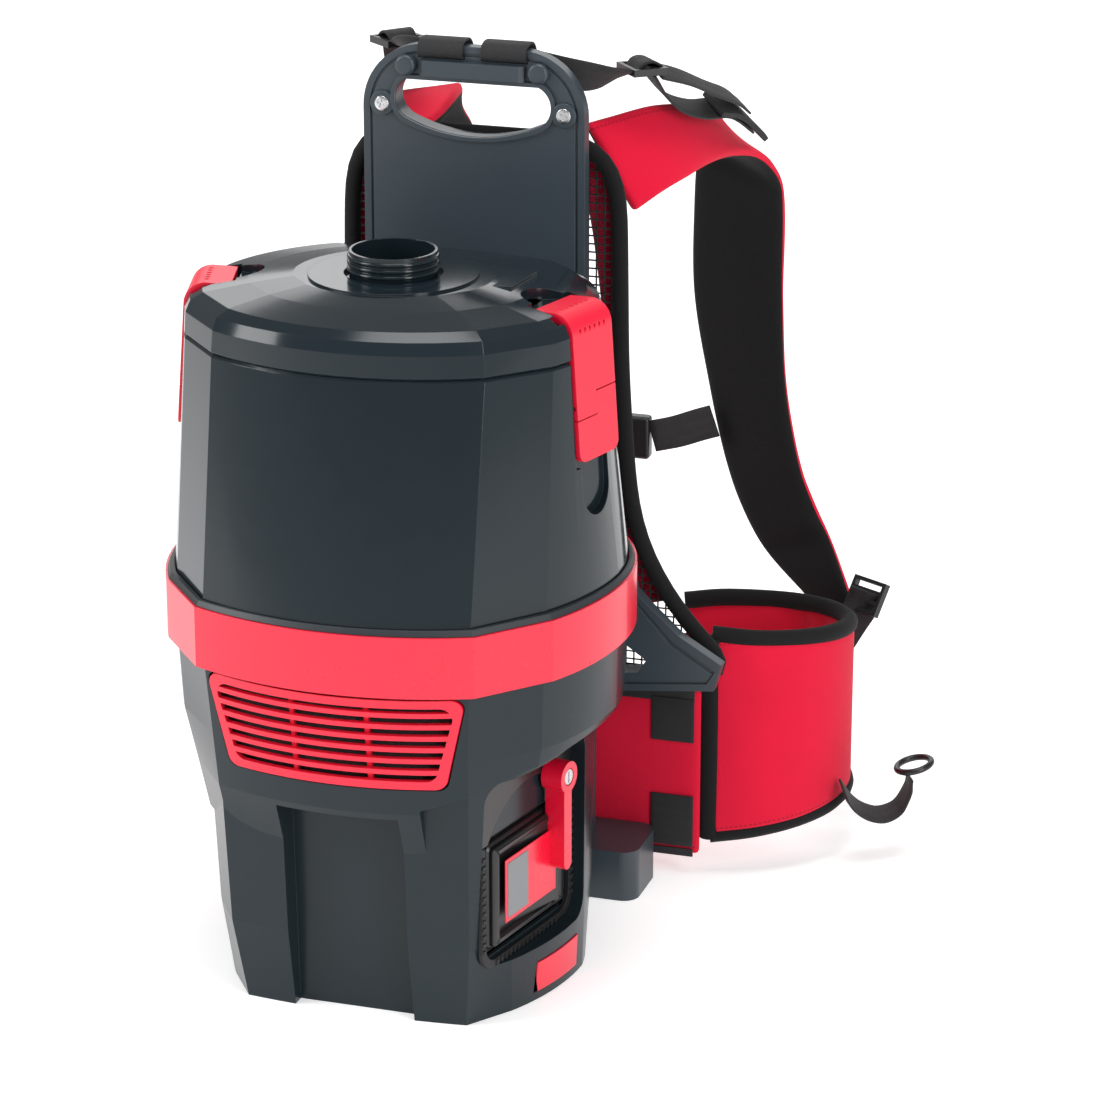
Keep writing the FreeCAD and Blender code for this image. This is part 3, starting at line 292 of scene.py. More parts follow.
# %% Give every measured part its finish
FINISHES = {
    slate_gloss: "bin lid hose_neck",
    slate_satin: "lower_housing",
    red_gloss: "band_ring battery_lever power_button",
    red_latch: "right_latch_lever right_latch_hook left_latch_lever left_latch_hook exhaust_grille",
    frame_plastic: "frame_board frame_rear_shell grip_rim frame_foot strap_bar canister_brackets",
    black_satin: "battery_pack port_cover belt_ring ladder_locks sternum_socket sternum_clip",
    black_matte: "motor_deck bag_collar motor_mount battery_bay power_switch",
    seal_rubber: "lid_seal motor_seal port_seal",
    bead_rubber: "bin_gasket",
    bright_steel: "right_hook_pin left_hook_pin lever_pins lever_screw rotor_shaft shaft_bearing "
                  "frame_fasteners",
    motor_metal: "motor_can rotor_fan",
    winding_iron: "motor_stator rotor_armature",
    brass_plate: "bay_contacts",
    board_green: "control_board",
    filter_foam: "motor_filter exhaust_foam",
    filter_cloth: "dust_bag",
    red_cloth: "back_cushions lumbar_pad lumbar_shell right_shoulder_pad left_shoulder_pad "
               "right_hip_wing left_hip_wing",
    black_cloth: "panel_binding back_mesh lumbar_webbing harness_webbing",
}
for finish, names in FINISHES.items():
    for name in names.split():
        nodes[name].data.materials.clear()
        nodes[name].data.materials.append(finish)
bare = [name for name in nodes if nodes[name].data.materials[0] not in FINISHES]
print("parts without a finish:", bare)

# %% [markdown]
# ## Modelling helpers
# Straps, pads and tapes are all strips.  Each one starts as a grid of a single row, and is
# extruded row by row along its path, which is how one would draw it by hand.  A strip knows its
# width and length, so its weave map is written at the same time.

# %% Helpers for points, primitives and edit mode
def spot(x, y, z):
    """A point given in millimetres."""
    return Vector((x, y, z)) / 1000


def start(add, name, **settings):
    """Adds a primitive with nothing else selected, and names it."""
    bpy.ops.object.select_all(action="DESELECT")
    add(**settings)
    piece = bpy.context.active_object
    piece.name = piece.data.name = name
    return piece


def apply_modifier(piece, kind, **settings):
    bpy.context.view_layer.objects.active = piece
    made = piece.modifiers.new(kind.lower(), kind)
    for key, value in settings.items():
        setattr(made, key, value)
    bpy.ops.object.modifier_apply(modifier=made.name)


def select_where(piece, test):
    """In edit mode, selects the faces whose centre and normal pass the test."""
    mesh = bmesh.from_edit_mesh(piece.data)
    for face in mesh.faces:
        face.select = test(face.calc_center_median(), face.normal)
    mesh.select_flush_mode()
    bmesh.update_edit_mesh(piece.data)


def eased(points, steps):
    """A smooth line through the points, with steps short spans between each pair."""
    ends = [points[0] * 2 - points[1], *points, points[-1] * 2 - points[-2]]
    line = []
    for a, b, c, d in zip(ends, ends[1:], ends[2:], ends[3:]):
        for k in range(steps):
            t = k / steps
            line.append(0.5 * (2 * b + (c - a) * t + (2 * a - 5 * b + 4 * c - d) * t ** 2
                               + (3 * b - a - 3 * c + d) * t ** 3))
    return line + [points[-1]]


def finish_piece(piece, material, replaced=(), angle=40):
    """Smooth shading, a material and the measured nodes it replaces.

    Every modelled piece rides on the frame and canister.
    """
    bpy.ops.object.select_all(action="DESELECT")
    piece.select_set(True)
    bpy.context.view_layer.objects.active = piece
    bpy.ops.object.shade_smooth_by_angle(angle=math.radians(angle))
    piece.data.materials.clear()
    piece.data.materials.append(material)
    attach(piece, BODY)
    if replaced:
        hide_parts(*replaced)


# %% The strip, extruded row by row
def strip(name, rows):
    """Quads over rows of points, each row extruded from the one before, with its weave map."""
    across = len(rows[0]) - 1
    piece = start(bpy.ops.mesh.primitive_grid_add, name, x_subdivisions=across, y_subdivisions=1,
                  size=1)
    bpy.ops.object.mode_set(mode="EDIT")
    bpy.ops.mesh.select_all(action="DESELECT")
    mesh = bmesh.from_edit_mesh(piece.data)
    order = sorted(mesh.verts, key=lambda v: (round(v.co.y, 3), v.co.x))
    for vertex, point in zip(order, rows[0] + rows[1]):
        vertex.co = point
    order = order[across + 1:]
    for pair in zip(order, order[1:]):
        mesh.edges.get(pair).select_set(True)
    for row in rows[2:]:
        bpy.ops.mesh.extrude_edges_move()
        order = [next(e.other_vert(v) for e in v.link_edges if e.other_vert(v).select)
                 for v in order]
        for vertex, point in zip(order, row):
            vertex.co = point
    bpy.ops.object.mode_set(mode="OBJECT")
    write_weave(piece, rows)
    return piece


def write_weave(piece, rows):
    """UV map in metres: distance across each row, and distance along the middle of the rows."""
    middle, along, place = len(rows[0]) // 2, 0.0, {}
    for index, row in enumerate(rows):
        if index:
            along += (row[middle] - rows[index - 1][middle]).length
        across = 0.0
        for column, point in enumerate(row):
            if column:
                across += (point - row[column - 1]).length
            place.setdefault(tuple(round(c, 5) for c in point), []).append(Vector((across, along)))
    while piece.data.uv_layers:
        piece.data.uv_layers.remove(piece.data.uv_layers[0])
    uv = piece.data.uv_layers.new(name="weave").data
    spots = [place[tuple(round(c, 5) for c in v.co)] for v in piece.data.vertices]
    for face in piece.data.polygons:
        anchor = min((spots[v] for v in face.vertices), key=len)[0]
        for corner, vertex in zip(face.loop_indices, face.vertices):
            uv[corner].uv = min(spots[vertex], key=lambda p: (p - anchor).length)
    width = max(p.x for choice in spots for p in choice)
    gap = piece.data.attributes.new("edge_gap", "FLOAT", "POINT").data
    for vertex, choice in enumerate(spots):
        gap[vertex].value = min(choice[0].x, width - choice[0].x)


def across_rows(pairs, steps, count):
    """Rows of count + 1 points between two edge lines given as pairs of points."""
    first = eased([spot(*a) for a, b in pairs], steps)
    second = eased([spot(*b) for a, b in pairs], steps)
    return [[a.lerp(b, k / count) for k in range(count + 1)] for a, b in zip(first, second)]


# %% [markdown]
# ## How webbing is made
# A webbing strap is a flat tape about 2 mm thick.  It keeps its width while it bends, so the strip
# is drawn from a centre line and a direction across, given once or for every point.  Solidify
# gives it its thickness and a small bevel gives it the rolled edge of real tape.

# %% Webbing helper
TAPE_SPANS = 5


def tape(points, width, across):
    """Rows of a tape that follows the points, in millimetres."""
    line = eased([spot(*p) for p in points], TAPE_SPANS)
    if len(across) == len(points):
        sides = eased([Vector(a).normalized() for a in across], TAPE_SPANS)
    else:
        sides = [Vector(across[0]).normalized()] * len(line)
    rows = []
    for index, (point, side) in enumerate(zip(line, sides)):
        along = (line[min(index + 1, len(line) - 1)] - line[max(index - 1, 0)]).normalized()
        side = (side - along * side.dot(along)).normalized() * (width / 2000)
        rows.append([point - side, point - side / 3, point + side / 3, point + side])
    return rows


def webbing(name, points, width, across, thick=1.8):
    """A strap through the points; its width and thickness are in millimetres too."""
    piece = strip(name, tape(points, width, across))
    apply_modifier(piece, "SOLIDIFY", thickness=thick / 1000, offset=0)
    apply_modifier(piece, "BEVEL", width=0.0005, segments=2, limit_method="ANGLE",
                   angle_limit=math.radians(60))
    return piece


# %% [markdown]
# ## How padding is made
# Shoulder pads, hip wings and cushions are foam in a cloth skin.  The skin is sewn at the rim and
# the foam pushes it out, so the faces are crowned and the sides pull in.  A cloth simulation with
# a little air pressure and no gravity gives just that, and a cap keeps the skin near the pattern.

# %% Stuff a strip with foam
FOAM_PRESSURE = 4.0
CLOTH_STIFFNESS = 18
PUFF_FRAMES = 20


def stuff(piece, thick, cap):
    """Gives a strip its thickness, marks its outer side and blows it up by at most cap.

    Both thick and cap are in millimetres.
    """
    skin = [v.co.copy() for v in piece.data.vertices]
    facing = [v.normal.copy() for v in piece.data.vertices]
    apply_modifier(piece, "SOLIDIFY", thickness=thick / 1000, offset=0)
    outer = piece.data.attributes.new("outer", "FLOAT", "POINT").data
    for index, vertex in enumerate(piece.data.vertices):
        twin = index % len(skin)
        outer[index].value = float((vertex.co - skin[twin]).dot(facing[twin]) > 0)
    before = [v.co.copy() for v in piece.data.vertices]
    bpy.ops.object.select_all(action="DESELECT")
    piece.select_set(True)
    bpy.context.view_layer.objects.active = piece
    puff = piece.modifiers.new("puff", "CLOTH")
    puff.settings.use_pressure = True
    puff.settings.uniform_pressure_force = FOAM_PRESSURE
    puff.settings.quality = 4
    puff.settings.mass = 0.3
    puff.settings.tension_stiffness = CLOTH_STIFFNESS
    puff.settings.compression_stiffness = CLOTH_STIFFNESS
    puff.settings.bending_stiffness = 2
    puff.settings.effector_weights.gravity = 0
    puff.point_cache.frame_start, puff.point_cache.frame_end = 1, PUFF_FRAMES
    for step in range(1, PUFF_FRAMES + 1):
        bpy.context.scene.frame_set(step)
    bpy.ops.object.modifier_apply(modifier=puff.name)
    bpy.context.scene.frame_set(1)
    for vertex, rest in zip(piece.data.vertices, before):
        push = vertex.co - rest
        vertex.co = rest + push * min(1, cap / 1000 / max(push.length, 1e-9))
    apply_modifier(piece, "SUBSURF", levels=1, render_levels=1)
    print(piece.name, "padding, points:", len(piece.data.vertices))
    return piece


# %% [markdown]
# ## Shoulder pads
# Each pad leaves the top of the back panel, rises over the shoulder, runs down the chest and
# narrows to a webbing at the hip.  It is red cloth outside and black lining on the wearer's side.
# The left pad lies flatter over its shoulder and closer to the middle than the right one.

# %% Build both shoulder pads
PAD_EDGES = [
    ((104, 203, 494), (70, 203, 556)), ((120, 222, 505), (84, 224, 558)),
    ((131, 252, 511), (100, 254, 559)), ((136, 292, 512), (112, 298, 552)),
    ((142, 334, 509), (116, 345, 541)), ((150, 374, 499), (106, 392, 515)),
    ((158, 402, 478), (90, 420, 490)), ((161, 413, 450), (86, 424, 452)),
    ((164, 412, 381), (88, 422, 380)), ((168, 410, 319), (102, 420, 308)),
    ((178, 407, 265), (116, 418, 252)), ((192, 401, 224), (132, 414, 212)),
    ((210, 388, 192), (158, 402, 178)), ((232, 358, 160), (206, 372, 146)),
]
LEFT_PAD_EDGES = [
    ((-84, 204, 511), (-44, 204, 548)), ((-92, 222, 532), (-42, 224, 551)),
    ((-96, 252, 545), (-44, 254, 554)), ((-102, 292, 541), (-54, 298, 550)),
    ((-112, 334, 528), (-70, 345, 540)), ((-126, 374, 508), (-84, 392, 514)),
    ((-140, 402, 480), (-84, 420, 490)), ((-152, 413, 450), (-84, 424, 452)),
    ((-160, 412, 381), (-88, 422, 380)), ((-168, 410, 319), (-102, 420, 308)),
    ((-171, 407, 265), (-106, 418, 252)), ((-177, 401, 224), (-114, 414, 212)),
    ((-188, 388, 192), (-134, 402, 178)), ((-204, 358, 160), (-175, 372, 146)),
]
for side, pairs in (("right", [(b, a) for a, b in PAD_EDGES]), ("left", LEFT_PAD_EDGES)):
    pad = stuff(strip(side + "_pad", across_rows(pairs, 5, 10)), 9, 3)
    finish_piece(pad, pad_cloth, replaced=[side + "_shoulder_pad"], angle=60)

# %% [markdown]
# ## Hip belt
# Two padded wings leave the lumbar pad and curve round the waist.  Their upper and lower edges
# are bound in black tape, which is a flattened tube swept along the edge.

# %% A tube swept along a path
RING_SIDES = 12
WELD = 1e-6


def tube(name, points, wide, deep, up, closed=False):
    """Extrudes a flattened ring from point to point; up is the direction of its wide axis."""
    count = len(points)
    rings = []
    for index, point in enumerate(points):
        before = points[index - 1] if closed or index else points[0]
        after = points[(index + 1) % count] if closed or index < count - 1 else points[-1]
        along = (after - before).normalized()
        tall = (up - along * up.dot(along)).normalized()
        flat = along.cross(tall)
        turns = [2 * math.pi * k / RING_SIDES for k in range(RING_SIDES)]
        rings.append([point + tall * (wide * math.cos(turn)) + flat * (deep * math.sin(turn))
                      for turn in turns])
    if closed:
        rings.append(rings[0])
    rows = [ring + ring[:1] for ring in rings]
    piece = strip(name, rows)
    bpy.ops.object.mode_set(mode="EDIT")
    bpy.ops.mesh.select_all(action="SELECT")
    bpy.ops.mesh.remove_doubles(threshold=WELD)
    bpy.ops.mesh.select_all(action="DESELECT")
    bpy.ops.mesh.select_non_manifold()
    if not closed:
        bpy.ops.mesh.edge_face_add()
    bpy.ops.mesh.select_all(action="SELECT")
    bpy.ops.mesh.normals_make_consistent(inside=False)
    bpy.ops.object.mode_set(mode="OBJECT")
    return piece


RIGHT_WING = [(166, 205), (196, 214), (224, 234), (243, 262), (246, 296), (226, 326), (190, 344),
              (140, 346), (108, 338)]
LEFT_WING = [(-166, 205), (-190, 216), (-208, 238), (-218, 268), (-214, 302), (-194, 330),
             (-160, 346), (-124, 350), (-100, 344)]
WING_FOOT, WING_FOOT_RISE, WING_TOP_FALL = 30, 34, 26
HEM_TALL, HEM_DEEP, ROOT_TALL = 0.0068, 0.0062, 0.0075
for side, route, root_top in (("right", RIGHT_WING, 186), ("left", LEFT_WING, 184)):
    last = len(route) - 1
    tops = [(x, y, root_top - WING_TOP_FALL * k / last) for k, (x, y) in enumerate(route)]
    feet = [(x, y, WING_FOOT + WING_FOOT_RISE * k / last) for k, (x, y) in enumerate(route)]
    pairs = list(zip(feet, tops))
    if side == "left":
        pairs = list(zip(tops, feet))
    wing = stuff(strip(side + "_wing", across_rows(pairs, 6, 16)), 8, 2.5)
    finish_piece(wing, red_cloth, replaced=[side + "_hip_wing"], angle=60)
    for edge, line in (("top", tops), ("foot", feet)):
        hem = tube("%s_wing_%s_tape" % (side, edge), eased([spot(*p) for p in line], 6), HEM_TALL,
                   HEM_DEEP, Vector((0, 0, 1)))
        finish_piece(hem, black_cloth, angle=60)
    x, y = route[0]
    seam = tube(side + "_wing_root_tape", [spot(x, y - 1, z) for z in range(28, 188, 12)],
                ROOT_TALL, HEM_DEEP, Vector((1, 0, 0)))
    finish_piece(seam, black_cloth, angle=60)

# %% [markdown]
# ## Lumbar pad and its cover
# Behind the foot of the frame a red cover faces the canister, with a black tape across its top
# and black webbing patches at its ends; the softer pad that meets the wearer is behind it.

# %% Lumbar cover, patches and pad
def panel(name, x, z, y, columns, row_count):
    """Flat upright strip at y, over x and z ranges."""
    rows = []
    for k in range(columns + 1):
        rows.append([spot(x[0] + (x[1] - x[0]) * k / columns, y,
                          z[0] + (z[1] - z[0]) * m / row_count) for m in range(row_count + 1)])
    return strip(name, rows)


cover = stuff(panel("lumbar_cover", (162, -162), (15, 149), 199, 44, 18), 3.4, 1.6)
finish_piece(cover, red_cloth, replaced=["lumbar_shell"], angle=60)
pad = stuff(panel("lumbar_cushion", (148, -148), (22, 140), 207.5, 40, 16), 9, 3)
finish_piece(pad, red_spacer, replaced=["lumbar_pad"], angle=60)
THIN_TAPE = 1.6
for name, height, width in (("lumbar_top_tape", 142, 15), ("lumbar_foot_tape", 17, 6)):
    band = webbing(name, [(156, 195.5, height), (0, 195, height), (-156, 195.5, height)], width,
                   [(0, 0, 1)], THIN_TAPE)
    finish_piece(band, black_webbing)
for side, end in ((1, "right"), (-1, "left")):
    for name, low, high in (("upper", 104, 138), ("lower", 22, 62)):
        middle = (low + high) / 2
        patch = webbing("%s_%s_patch" % (end, name),
                        [(side * 124, 194.9, middle), (side * 140, 194.6, middle),
                         (side * 156, 194.9, middle)], high - low, [(0, 0, side)], THIN_TAPE)
        first = end == "right" and name == "upper"
        finish_piece(patch, black_webbing,
                     replaced=["lumbar_webbing"] if first else ())

# %% [markdown]
# ## Back panel
# The panel against the wearer's back is an open net stretched in a bound edge, with two narrow
# padded columns on the wearer's side.  The net starts as a plane cut into small squares; those
# outside the panel are removed and a Wireframe modifier turns every edge into a cord.  They are
# picked in face mode, because in vertex mode a square left out would unselect its neighbours.

# %% Net, binding and back columns
PANEL_EDGE = [(60, 552), (78, 546), (94, 536), (104, 518), (105, 454), (106, 386), (111, 310),
              (116, 272), (126, 244), (141, 220), (156, 200), (172, 184), (186, 172)]


def panel_loop(inset):
    """The panel's outline in x and z, drawn in by inset, going right to left over the top."""
    right = [(x - inset, z) for x, z in PANEL_EDGE]
    right[0] = (right[0][0], right[0][1] - inset)
    low = 152 + inset
    right += [(right[-1][0], low + 8), (right[-1][0] - 10, low)]
    return right + [(-x, z) for x, z in reversed(right)]


def inside_loop(x, z, loop):
    """Whether a line from the point to the far right crosses the loop an odd number of times."""
    inside = False
    for (x0, z0), (x1, z1) in zip(loop, loop[1:] + loop[:1]):
        if (z0 > z) != (z1 > z) and x < x0 + (z - z0) / (z1 - z0) * (x1 - x0):
            inside = not inside
    return inside


CELL = 5.9
CELLS_WIDE, CELLS_TALL = 60, 66
NET_MIDDLE = spot(0, 188.2, 350)
CORD = 0.0018
net = start(bpy.ops.mesh.primitive_grid_add, "back_net", x_subdivisions=CELLS_WIDE,
            y_subdivisions=CELLS_TALL, size=1)
net.data.transform(Matrix.Translation(NET_MIDDLE) @ Matrix.Rotation(math.radians(90), 4, "X")
                   @ Matrix.Diagonal((CELLS_WIDE * CELL / 1000, CELLS_TALL * CELL / 1000, 1, 1)))
loop = panel_loop(6)
bpy.ops.object.mode_set(mode="EDIT")
bpy.ops.mesh.select_all(action="DESELECT")
bpy.ops.mesh.select_mode(type="FACE")
select_where(net, lambda c, n: not inside_loop(c.x * 1000, c.z * 1000, loop))
bpy.ops.mesh.delete(type="FACE")
bpy.ops.mesh.select_mode(type="VERT")
bpy.ops.object.mode_set(mode="OBJECT")
apply_modifier(net, "WIREFRAME", thickness=CORD, use_even_offset=False)
finish_piece(net, net_cord, replaced=["back_mesh"], angle=80)
print("net faces:", len(net.data.polygons))

BINDING_SPAN = 0.012
SOFTENINGS = 4
binding_line = [spot(x, 189, z) for x, z in panel_loop(5.2)]
corner_free = []
for point, after in zip(binding_line, binding_line[1:] + binding_line[:1]):
    spans = max(1, round((after - point).length / BINDING_SPAN))
    corner_free += [point.lerp(after, k / spans) for k in range(spans)]
for turn in range(SOFTENINGS):
    ahead, behind = corner_free[1:] + corner_free[:1], corner_free[-1:] + corner_free[:-1]
    corner_free = [(a + b * 2 + c) / 4 for a, b, c in zip(behind, corner_free, ahead)]
binding = tube("edge_binding", corner_free, 0.0048, 0.0062, Vector((0, 1, 0)), closed=True)
finish_piece(binding, black_cloth, replaced=["panel_binding"], angle=60)

COLUMN = [((88, 534), (70, 534)), ((97, 505), (72, 505)), ((99, 470), (78, 470)),
          ((99, 400), (86, 400)), ((100, 340), (84, 340)), ((105, 290), (84, 285)),
          ((116, 248), (92, 240)), ((140, 212), (116, 206))]
COLUMN_Y = 198
for side, name in ((1, "right"), (-1, "left")):
    pairs = [((side * a[0], COLUMN_Y, a[1]), (side * b[0], COLUMN_Y, b[1])) for a, b in COLUMN]
    if name == "left":
        pairs = [(b, a) for a, b in pairs]
    column = stuff(strip(name + "_back_column", across_rows(pairs, 8, 5)), 6, 2)
    finish_piece(column, red_spacer,
                 replaced=["back_cushions"] if name == "right" else (), angle=60)

# %% [markdown]
# ## Harness webbing
# Black webbing loops over the top of the frame, runs to a ladder lock over each shoulder and down
# on to the pad.  More webbing joins each pad to the belt, closes across the chest and hangs from
# the belt; the right tail carries a ring.

# %% Shoulder, hip and chest webbing
SIDE_STRAPS = {
    "right": {
        "lifter": ([(40, 186, 598), (68, 189, 593), (84, 204, 589), (94, 224, 589), (99, 230, 596),
                    (105, 236, 597), (110, 241, 592), (106, 237, 587)], 22,
                   [(0, 0, 1), (0.1, -0.1, 1), (0.4, -0.5, 0.7), (0.64, -0.77, 0.2),
                    (0.64, -0.77, 0), (0.64, -0.77, 0), (0.64, -0.77, 0), (0.64, -0.77, 0)]),
        "frame_loop": ([(23, 188, 600), (23, 186.5, 609), (23, 180, 615.4), (23, 170, 616.2),
                        (23, 164, 614), (23, 162.4, 609), (23, 163.4, 605.4), (23, 167, 604.8)], 33,
                       [(1, 0, 0)]),
        "pad_strap": ([(104, 240, 588), (109, 250, 574), (116, 264, 561), (126, 290, 551),
                       (138, 318, 546), (151, 338, 530)], 22, [(-0.75, 0.42, 0.5)]),
        "loose_strap": ([(110, 238, 589), (124, 262, 580), (136, 292, 566), (144, 316, 556),
                         (150, 330, 546)], 20, [(-0.75, 0.45, 0.48)]),
        "strap_end": ([(134, 304, 552.5), (143, 322, 547), (152, 340, 533), (155, 350, 524)], 25,
                      [(-0.75, 0.42, 0.5)]),
        "hip_strap": ([(250, 334, 184), (246, 336, 172), (238, 335, 158), (228, 334, 140)], 25,
                      [(0.85, 0.1, -0.4), (0.85, 0.1, -0.5), (0.8, 0.1, -0.6), (0.8, 0.1, -0.6)]),
    },
    "left": {
        "lifter": ([(-36, 186, 600), (-54, 190, 602), (-64, 204, 600), (-71, 224, 598),
                    (-76, 230, 605), (-82, 236, 606), (-87, 241, 601), (-83, 237, 596)], 22,
                   [(0, 0, 1), (-0.1, -0.1, 1), (-0.4, -0.5, 0.7), (-0.64, -0.77, 0.2),
                    (-0.64, -0.77, 0), (-0.64, -0.77, 0), (-0.64, -0.77, 0), (-0.64, -0.77, 0)]),
        "frame_loop": ([(-23, 188, 600), (-23, 186.5, 609), (-23, 180, 615.4), (-23, 170, 616.2),
                        (-23, 164, 614), (-23, 162.4, 609), (-23, 163.4, 605.4), (-23, 167, 604.8)],
                       33, [(-1, 0, 0)]),
        "pad_strap": ([(-82, 240, 597), (-85, 252, 583), (-87, 268, 570), (-90, 290, 562),
                       (-96, 322, 554)], 22, [(0.9, 0.3, 0.1)]),
        "hip_strap": ([(-220, 334, 184), (-216, 336, 172), (-208, 335, 158), (-198, 334, 140)], 25,
                      [(-0.85, 0.1, -0.4), (-0.85, 0.1, -0.5), (-0.8, 0.1, -0.6),
                       (-0.8, 0.1, -0.6)]),
    },
}
for side, straps in SIDE_STRAPS.items():
    for name, (points, width, across) in straps.items():
        piece = webbing("%s_%s" % (side, name), points, width, across,
                        thick=4 if name == "strap_end" else 1.8)
        finish_piece(piece, black_webbing,
                     replaced=["harness_webbing"] if (side, name) == ("right", "lifter") else ())

chest_right = webbing("right_chest_strap",
                      [(112, 401, 284), (98, 405, 278), (80, 409, 270), (60, 410, 264)], 25,
                      [(0, 0, 1)])
chest_left = webbing("left_chest_strap",
                     [(-112, 401, 284), (-98, 405, 278), (-60, 410, 270), (10, 411, 262)], 25,
                     [(0, 0, 1)])
belt_tail = webbing("right_belt_tail",
                    [(256, 246, 60), (262, 254, 47), (270, 262, 38), (280, 270, 34), (290, 278, 38),
                     (296, 284, 50), (297, 286, 60)], 25, [(-0.35, 0.93, 0.1)])
left_tail = webbing("left_belt_tail",
                    [(-230, 258, 66), (-234, 264, 54), (-242, 274, 45), (-252, 286, 46),
                     (-258, 294, 53)], 25, [(0.4, 0.9, 0.1)])
for piece in (chest_right, chest_left, belt_tail, left_tail):
    finish_piece(piece, black_webbing)

# %% [markdown]
# ## Battery face
# In the port the battery shows a raised island with a groove round it and a plain two-colour
# label.  A block is bevelled, then inset and pressed in to leave the groove, and all three pieces
# are turned with the port.

# %% Battery face and label
def block(name, x, y, z, bevel=0.0, segments=3):
    """A box between x, y and z ranges in millimetres, its edges rounded by bevel."""
    piece = start(bpy.ops.mesh.primitive_cube_add, name, size=1)
    size = [(b - a) / 1000 for a, b in (x, y, z)]
    middle = spot(*[(a + b) / 2 for a, b in (x, y, z)])
    piece.data.transform(Matrix.Translation(middle) @ Matrix.Diagonal((*size, 1)))
    if bevel:
        bpy.ops.object.mode_set(mode="EDIT")
        bpy.ops.mesh.select_all(action="SELECT")
        bpy.ops.mesh.bevel(offset=bevel / 1000, segments=segments, affect="EDGES")
        bpy.ops.object.mode_set(mode="OBJECT")
    return piece


PORT_PIVOT = spot(108, -9.5, 0)
PORT_ANGLE = -12
ISLAND_FACE = 0.112
port_turn = (Matrix.Translation(PORT_PIVOT) @ Matrix.Rotation(math.radians(PORT_ANGLE), 4, "Z")
             @ Matrix.Translation(-PORT_PIVOT))
island = block("battery_island", (107, 113), (-86, 8), (56, 128), 2.4)
bpy.ops.object.mode_set(mode="EDIT")
bpy.ops.mesh.select_all(action="DESELECT")
select_where(island, lambda c, n: n.x > 0.95 and c.x > ISLAND_FACE)
bpy.ops.mesh.inset(thickness=0.004, depth=0)
bpy.ops.mesh.inset(thickness=0.0022, depth=-0.0022)
bpy.ops.mesh.inset(thickness=0.001, depth=0.0034)
bpy.ops.object.mode_set(mode="OBJECT")
label = block("battery_label", (113.6, 114.5), (-74, -6), (70, 116), 0.3, 1)
flash = block("battery_label_flash", (114.3, 114.8), (-71, -44), (73, 113), 0.2, 1)
for piece in (island, label, flash):
    piece.data.transform(port_turn)
finish_piece(island, black_satin, angle=30)
finish_piece(label, red_gloss, angle=30)
finish_piece(flash, moulded("label_grey", (0.20, 0.21, 0.22), 0.4), angle=30)

# %% [markdown]
# ## Screws and studs
# Two cross-head screws hold the frame board and two round studs stand at the ends of the strap
# bar.  Each starts as a cylinder: the collar is inset and pressed in, the head is cut by two thin
# blocks and the stud gets a wide bevel.

# %% Collars, screw heads and studs
SCREW_X, SCREW_Z = 66.4, 569.7
STUD_X, STUD_Z = 48.4, 598.1
CROSS_TURN = 20
CROSS_SIZE = (0.006, 0.0014, 0.0013)


def facing_front(x, y, z):
    """The transform that takes a new cylinder to the point, with its axis along Y."""
    return Matrix.Translation(spot(x, y, z)) @ Matrix.Rotation(math.pi / 2, 4, "X")


for side, name in ((1, "right"), (-1, "left")):
    collar = start(bpy.ops.mesh.primitive_cylinder_add, name + "_screw_collar", vertices=48,
                   radius=0.0088, depth=0.0026)
    collar.data.transform(facing_front(side * SCREW_X, 163.8, SCREW_Z))
    bpy.ops.object.mode_set(mode="EDIT")
    bpy.ops.mesh.select_all(action="DESELECT")
    select_where(collar, lambda c, n: n.y < -0.9)
    bpy.ops.mesh.inset(thickness=0.0026, depth=0)
    bpy.ops.mesh.inset(thickness=0.0004, depth=-0.0022)
    bpy.ops.object.mode_set(mode="OBJECT")
    apply_modifier(collar, "BEVEL", width=0.0006, segments=3, limit_method="ANGLE")
    finish_piece(collar, frame_plastic, angle=30)
    head = start(bpy.ops.mesh.primitive_cylinder_add, name + "_screw_head", vertices=32,
                 radius=0.0052, depth=0.0012)
    head.data.transform(facing_front(side * SCREW_X, 162.3, SCREW_Z))
    apply_modifier(head, "BEVEL", width=0.0005, segments=3, limit_method="ANGLE")
    for turn in (0, 90):
        bit = start(bpy.ops.mesh.primitive_cube_add, "bit", size=1)
        bit.data.transform(Matrix.Translation(spot(side * SCREW_X, 161.6, SCREW_Z))
                           @ Matrix.Rotation(math.radians(turn + CROSS_TURN), 4, "Y")
                           @ Matrix.Diagonal((*CROSS_SIZE, 1)))
        apply_modifier(head, "BOOLEAN", object=bit, operation="DIFFERENCE", solver="EXACT")
        bpy.data.objects.remove(bit)
    finish_piece(head, bright_steel, angle=30)
    stud = start(bpy.ops.mesh.primitive_cylinder_add, name + "_stud_cap", vertices=40,
                 radius=0.0075, depth=0.0062)
    stud.data.transform(facing_front(side * STUD_X, 161.8, STUD_Z))
    apply_modifier(stud, "BEVEL", width=0.0026, segments=5, limit_method="ANGLE")
    finish_piece(stud, frame_plastic, angle=50)

# %% [markdown]
# ## Studio
# A pale floor that glows a little, a high soft key light from the left, a tall soft light at the
# right for the slanted faces, one above and one behind.  The camera stands well back with a long
# lens, so that upright edges stay nearly parallel.

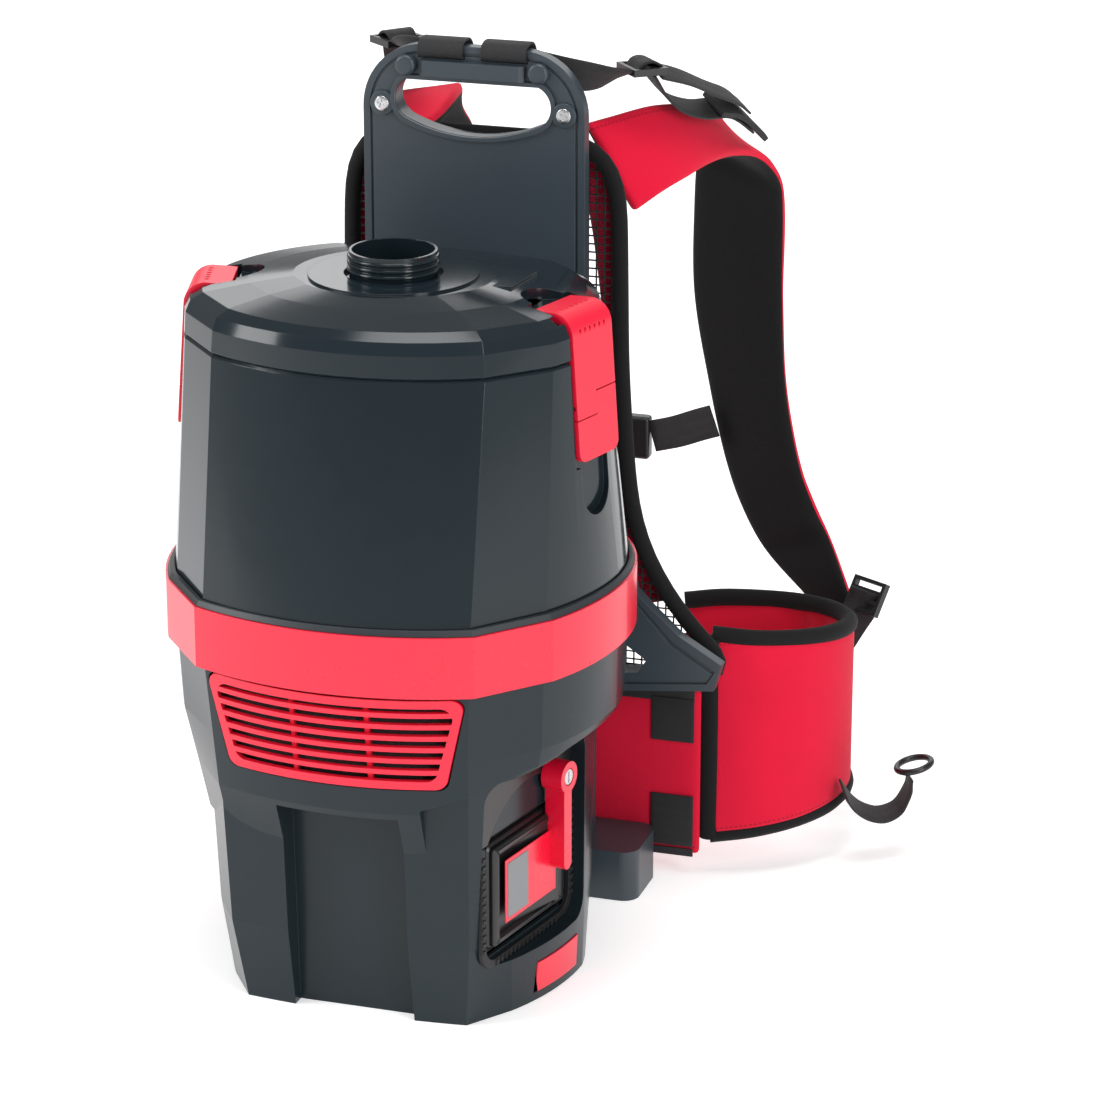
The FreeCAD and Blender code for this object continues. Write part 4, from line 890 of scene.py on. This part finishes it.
# %% Floor, lights and camera
FLOOR_GLOW = 0.42
WORLD_LIGHT = 0.3
floor = start(bpy.ops.mesh.primitive_plane_add, "floor", size=30)
material, shader, flow = new_material("pale_floor")
place = flow.node("ShaderNodeTexCoord", output="Object")
mottle = flow.node("ShaderNodeTexNoise", inputs={"Vector": place, "Scale": 3, "Detail": 2})
plug(flow, shader, Roughness=0.9,
     Base_Color=mixed(flow, mottle, (0.90, 0.90, 0.90), (0.93, 0.93, 0.93)))
shader.inputs["Emission Color"].default_value = (1, 1, 1, 1)
shader.inputs["Emission Strength"].default_value = FLOOR_GLOW
floor.data.materials.append(material)


def soft_light(name, place, target, width, height, power):
    """A white area light at place, in metres, turned to the target."""
    bpy.ops.object.light_add(type="AREA", location=place)
    light = bpy.context.active_object
    light.name = light.data.name = name
    light.rotation_euler = (Vector(target) - Vector(place)).to_track_quat("-Z", "Y").to_euler()
    light.data.shape, light.data.size, light.data.size_y = "RECTANGLE", width, height
    light.data.energy = power


soft_light("key", (-2.6, -1.6, 1.9), (0, 0.1, 0.3), 1.2, 2.2, 70)
soft_light("side", (2.3, -1.5, 1.3), (0.1, 0.1, 0.3), 0.8, 2.2, 45)
soft_light("top", (0.2, -0.2, 3.0), (0, 0.1, 0.2), 1.6, 1.2, 40)
soft_light("back", (-0.6, 3.4, 1.8), (-0.4, 2.6, 0), 4.0, 1.6, 40)
world = bpy.data.worlds.new("studio")
world.use_nodes = True
backdrop = world.node_tree.nodes["Background"].inputs
backdrop["Color"].default_value = (1, 1, 1, 1)
backdrop["Strength"].default_value = WORLD_LIGHT
bpy.context.scene.world = world
bpy.context.scene.view_settings.view_transform = "Standard"

CAMERA_PLACE = (0.8705, -2.3876, 1.1852)
YAW, PITCH, LENS = 17.7, -19.2, 129.9
bpy.ops.object.camera_add(location=CAMERA_PLACE,
                          rotation=(math.radians(90 + PITCH), 0, math.radians(YAW)))
camera = bpy.context.active_object
camera.data.lens, camera.data.sensor_width = LENS, 36
bpy.context.scene.camera = camera

# %% Finish
bpy.context.view_layer.update()
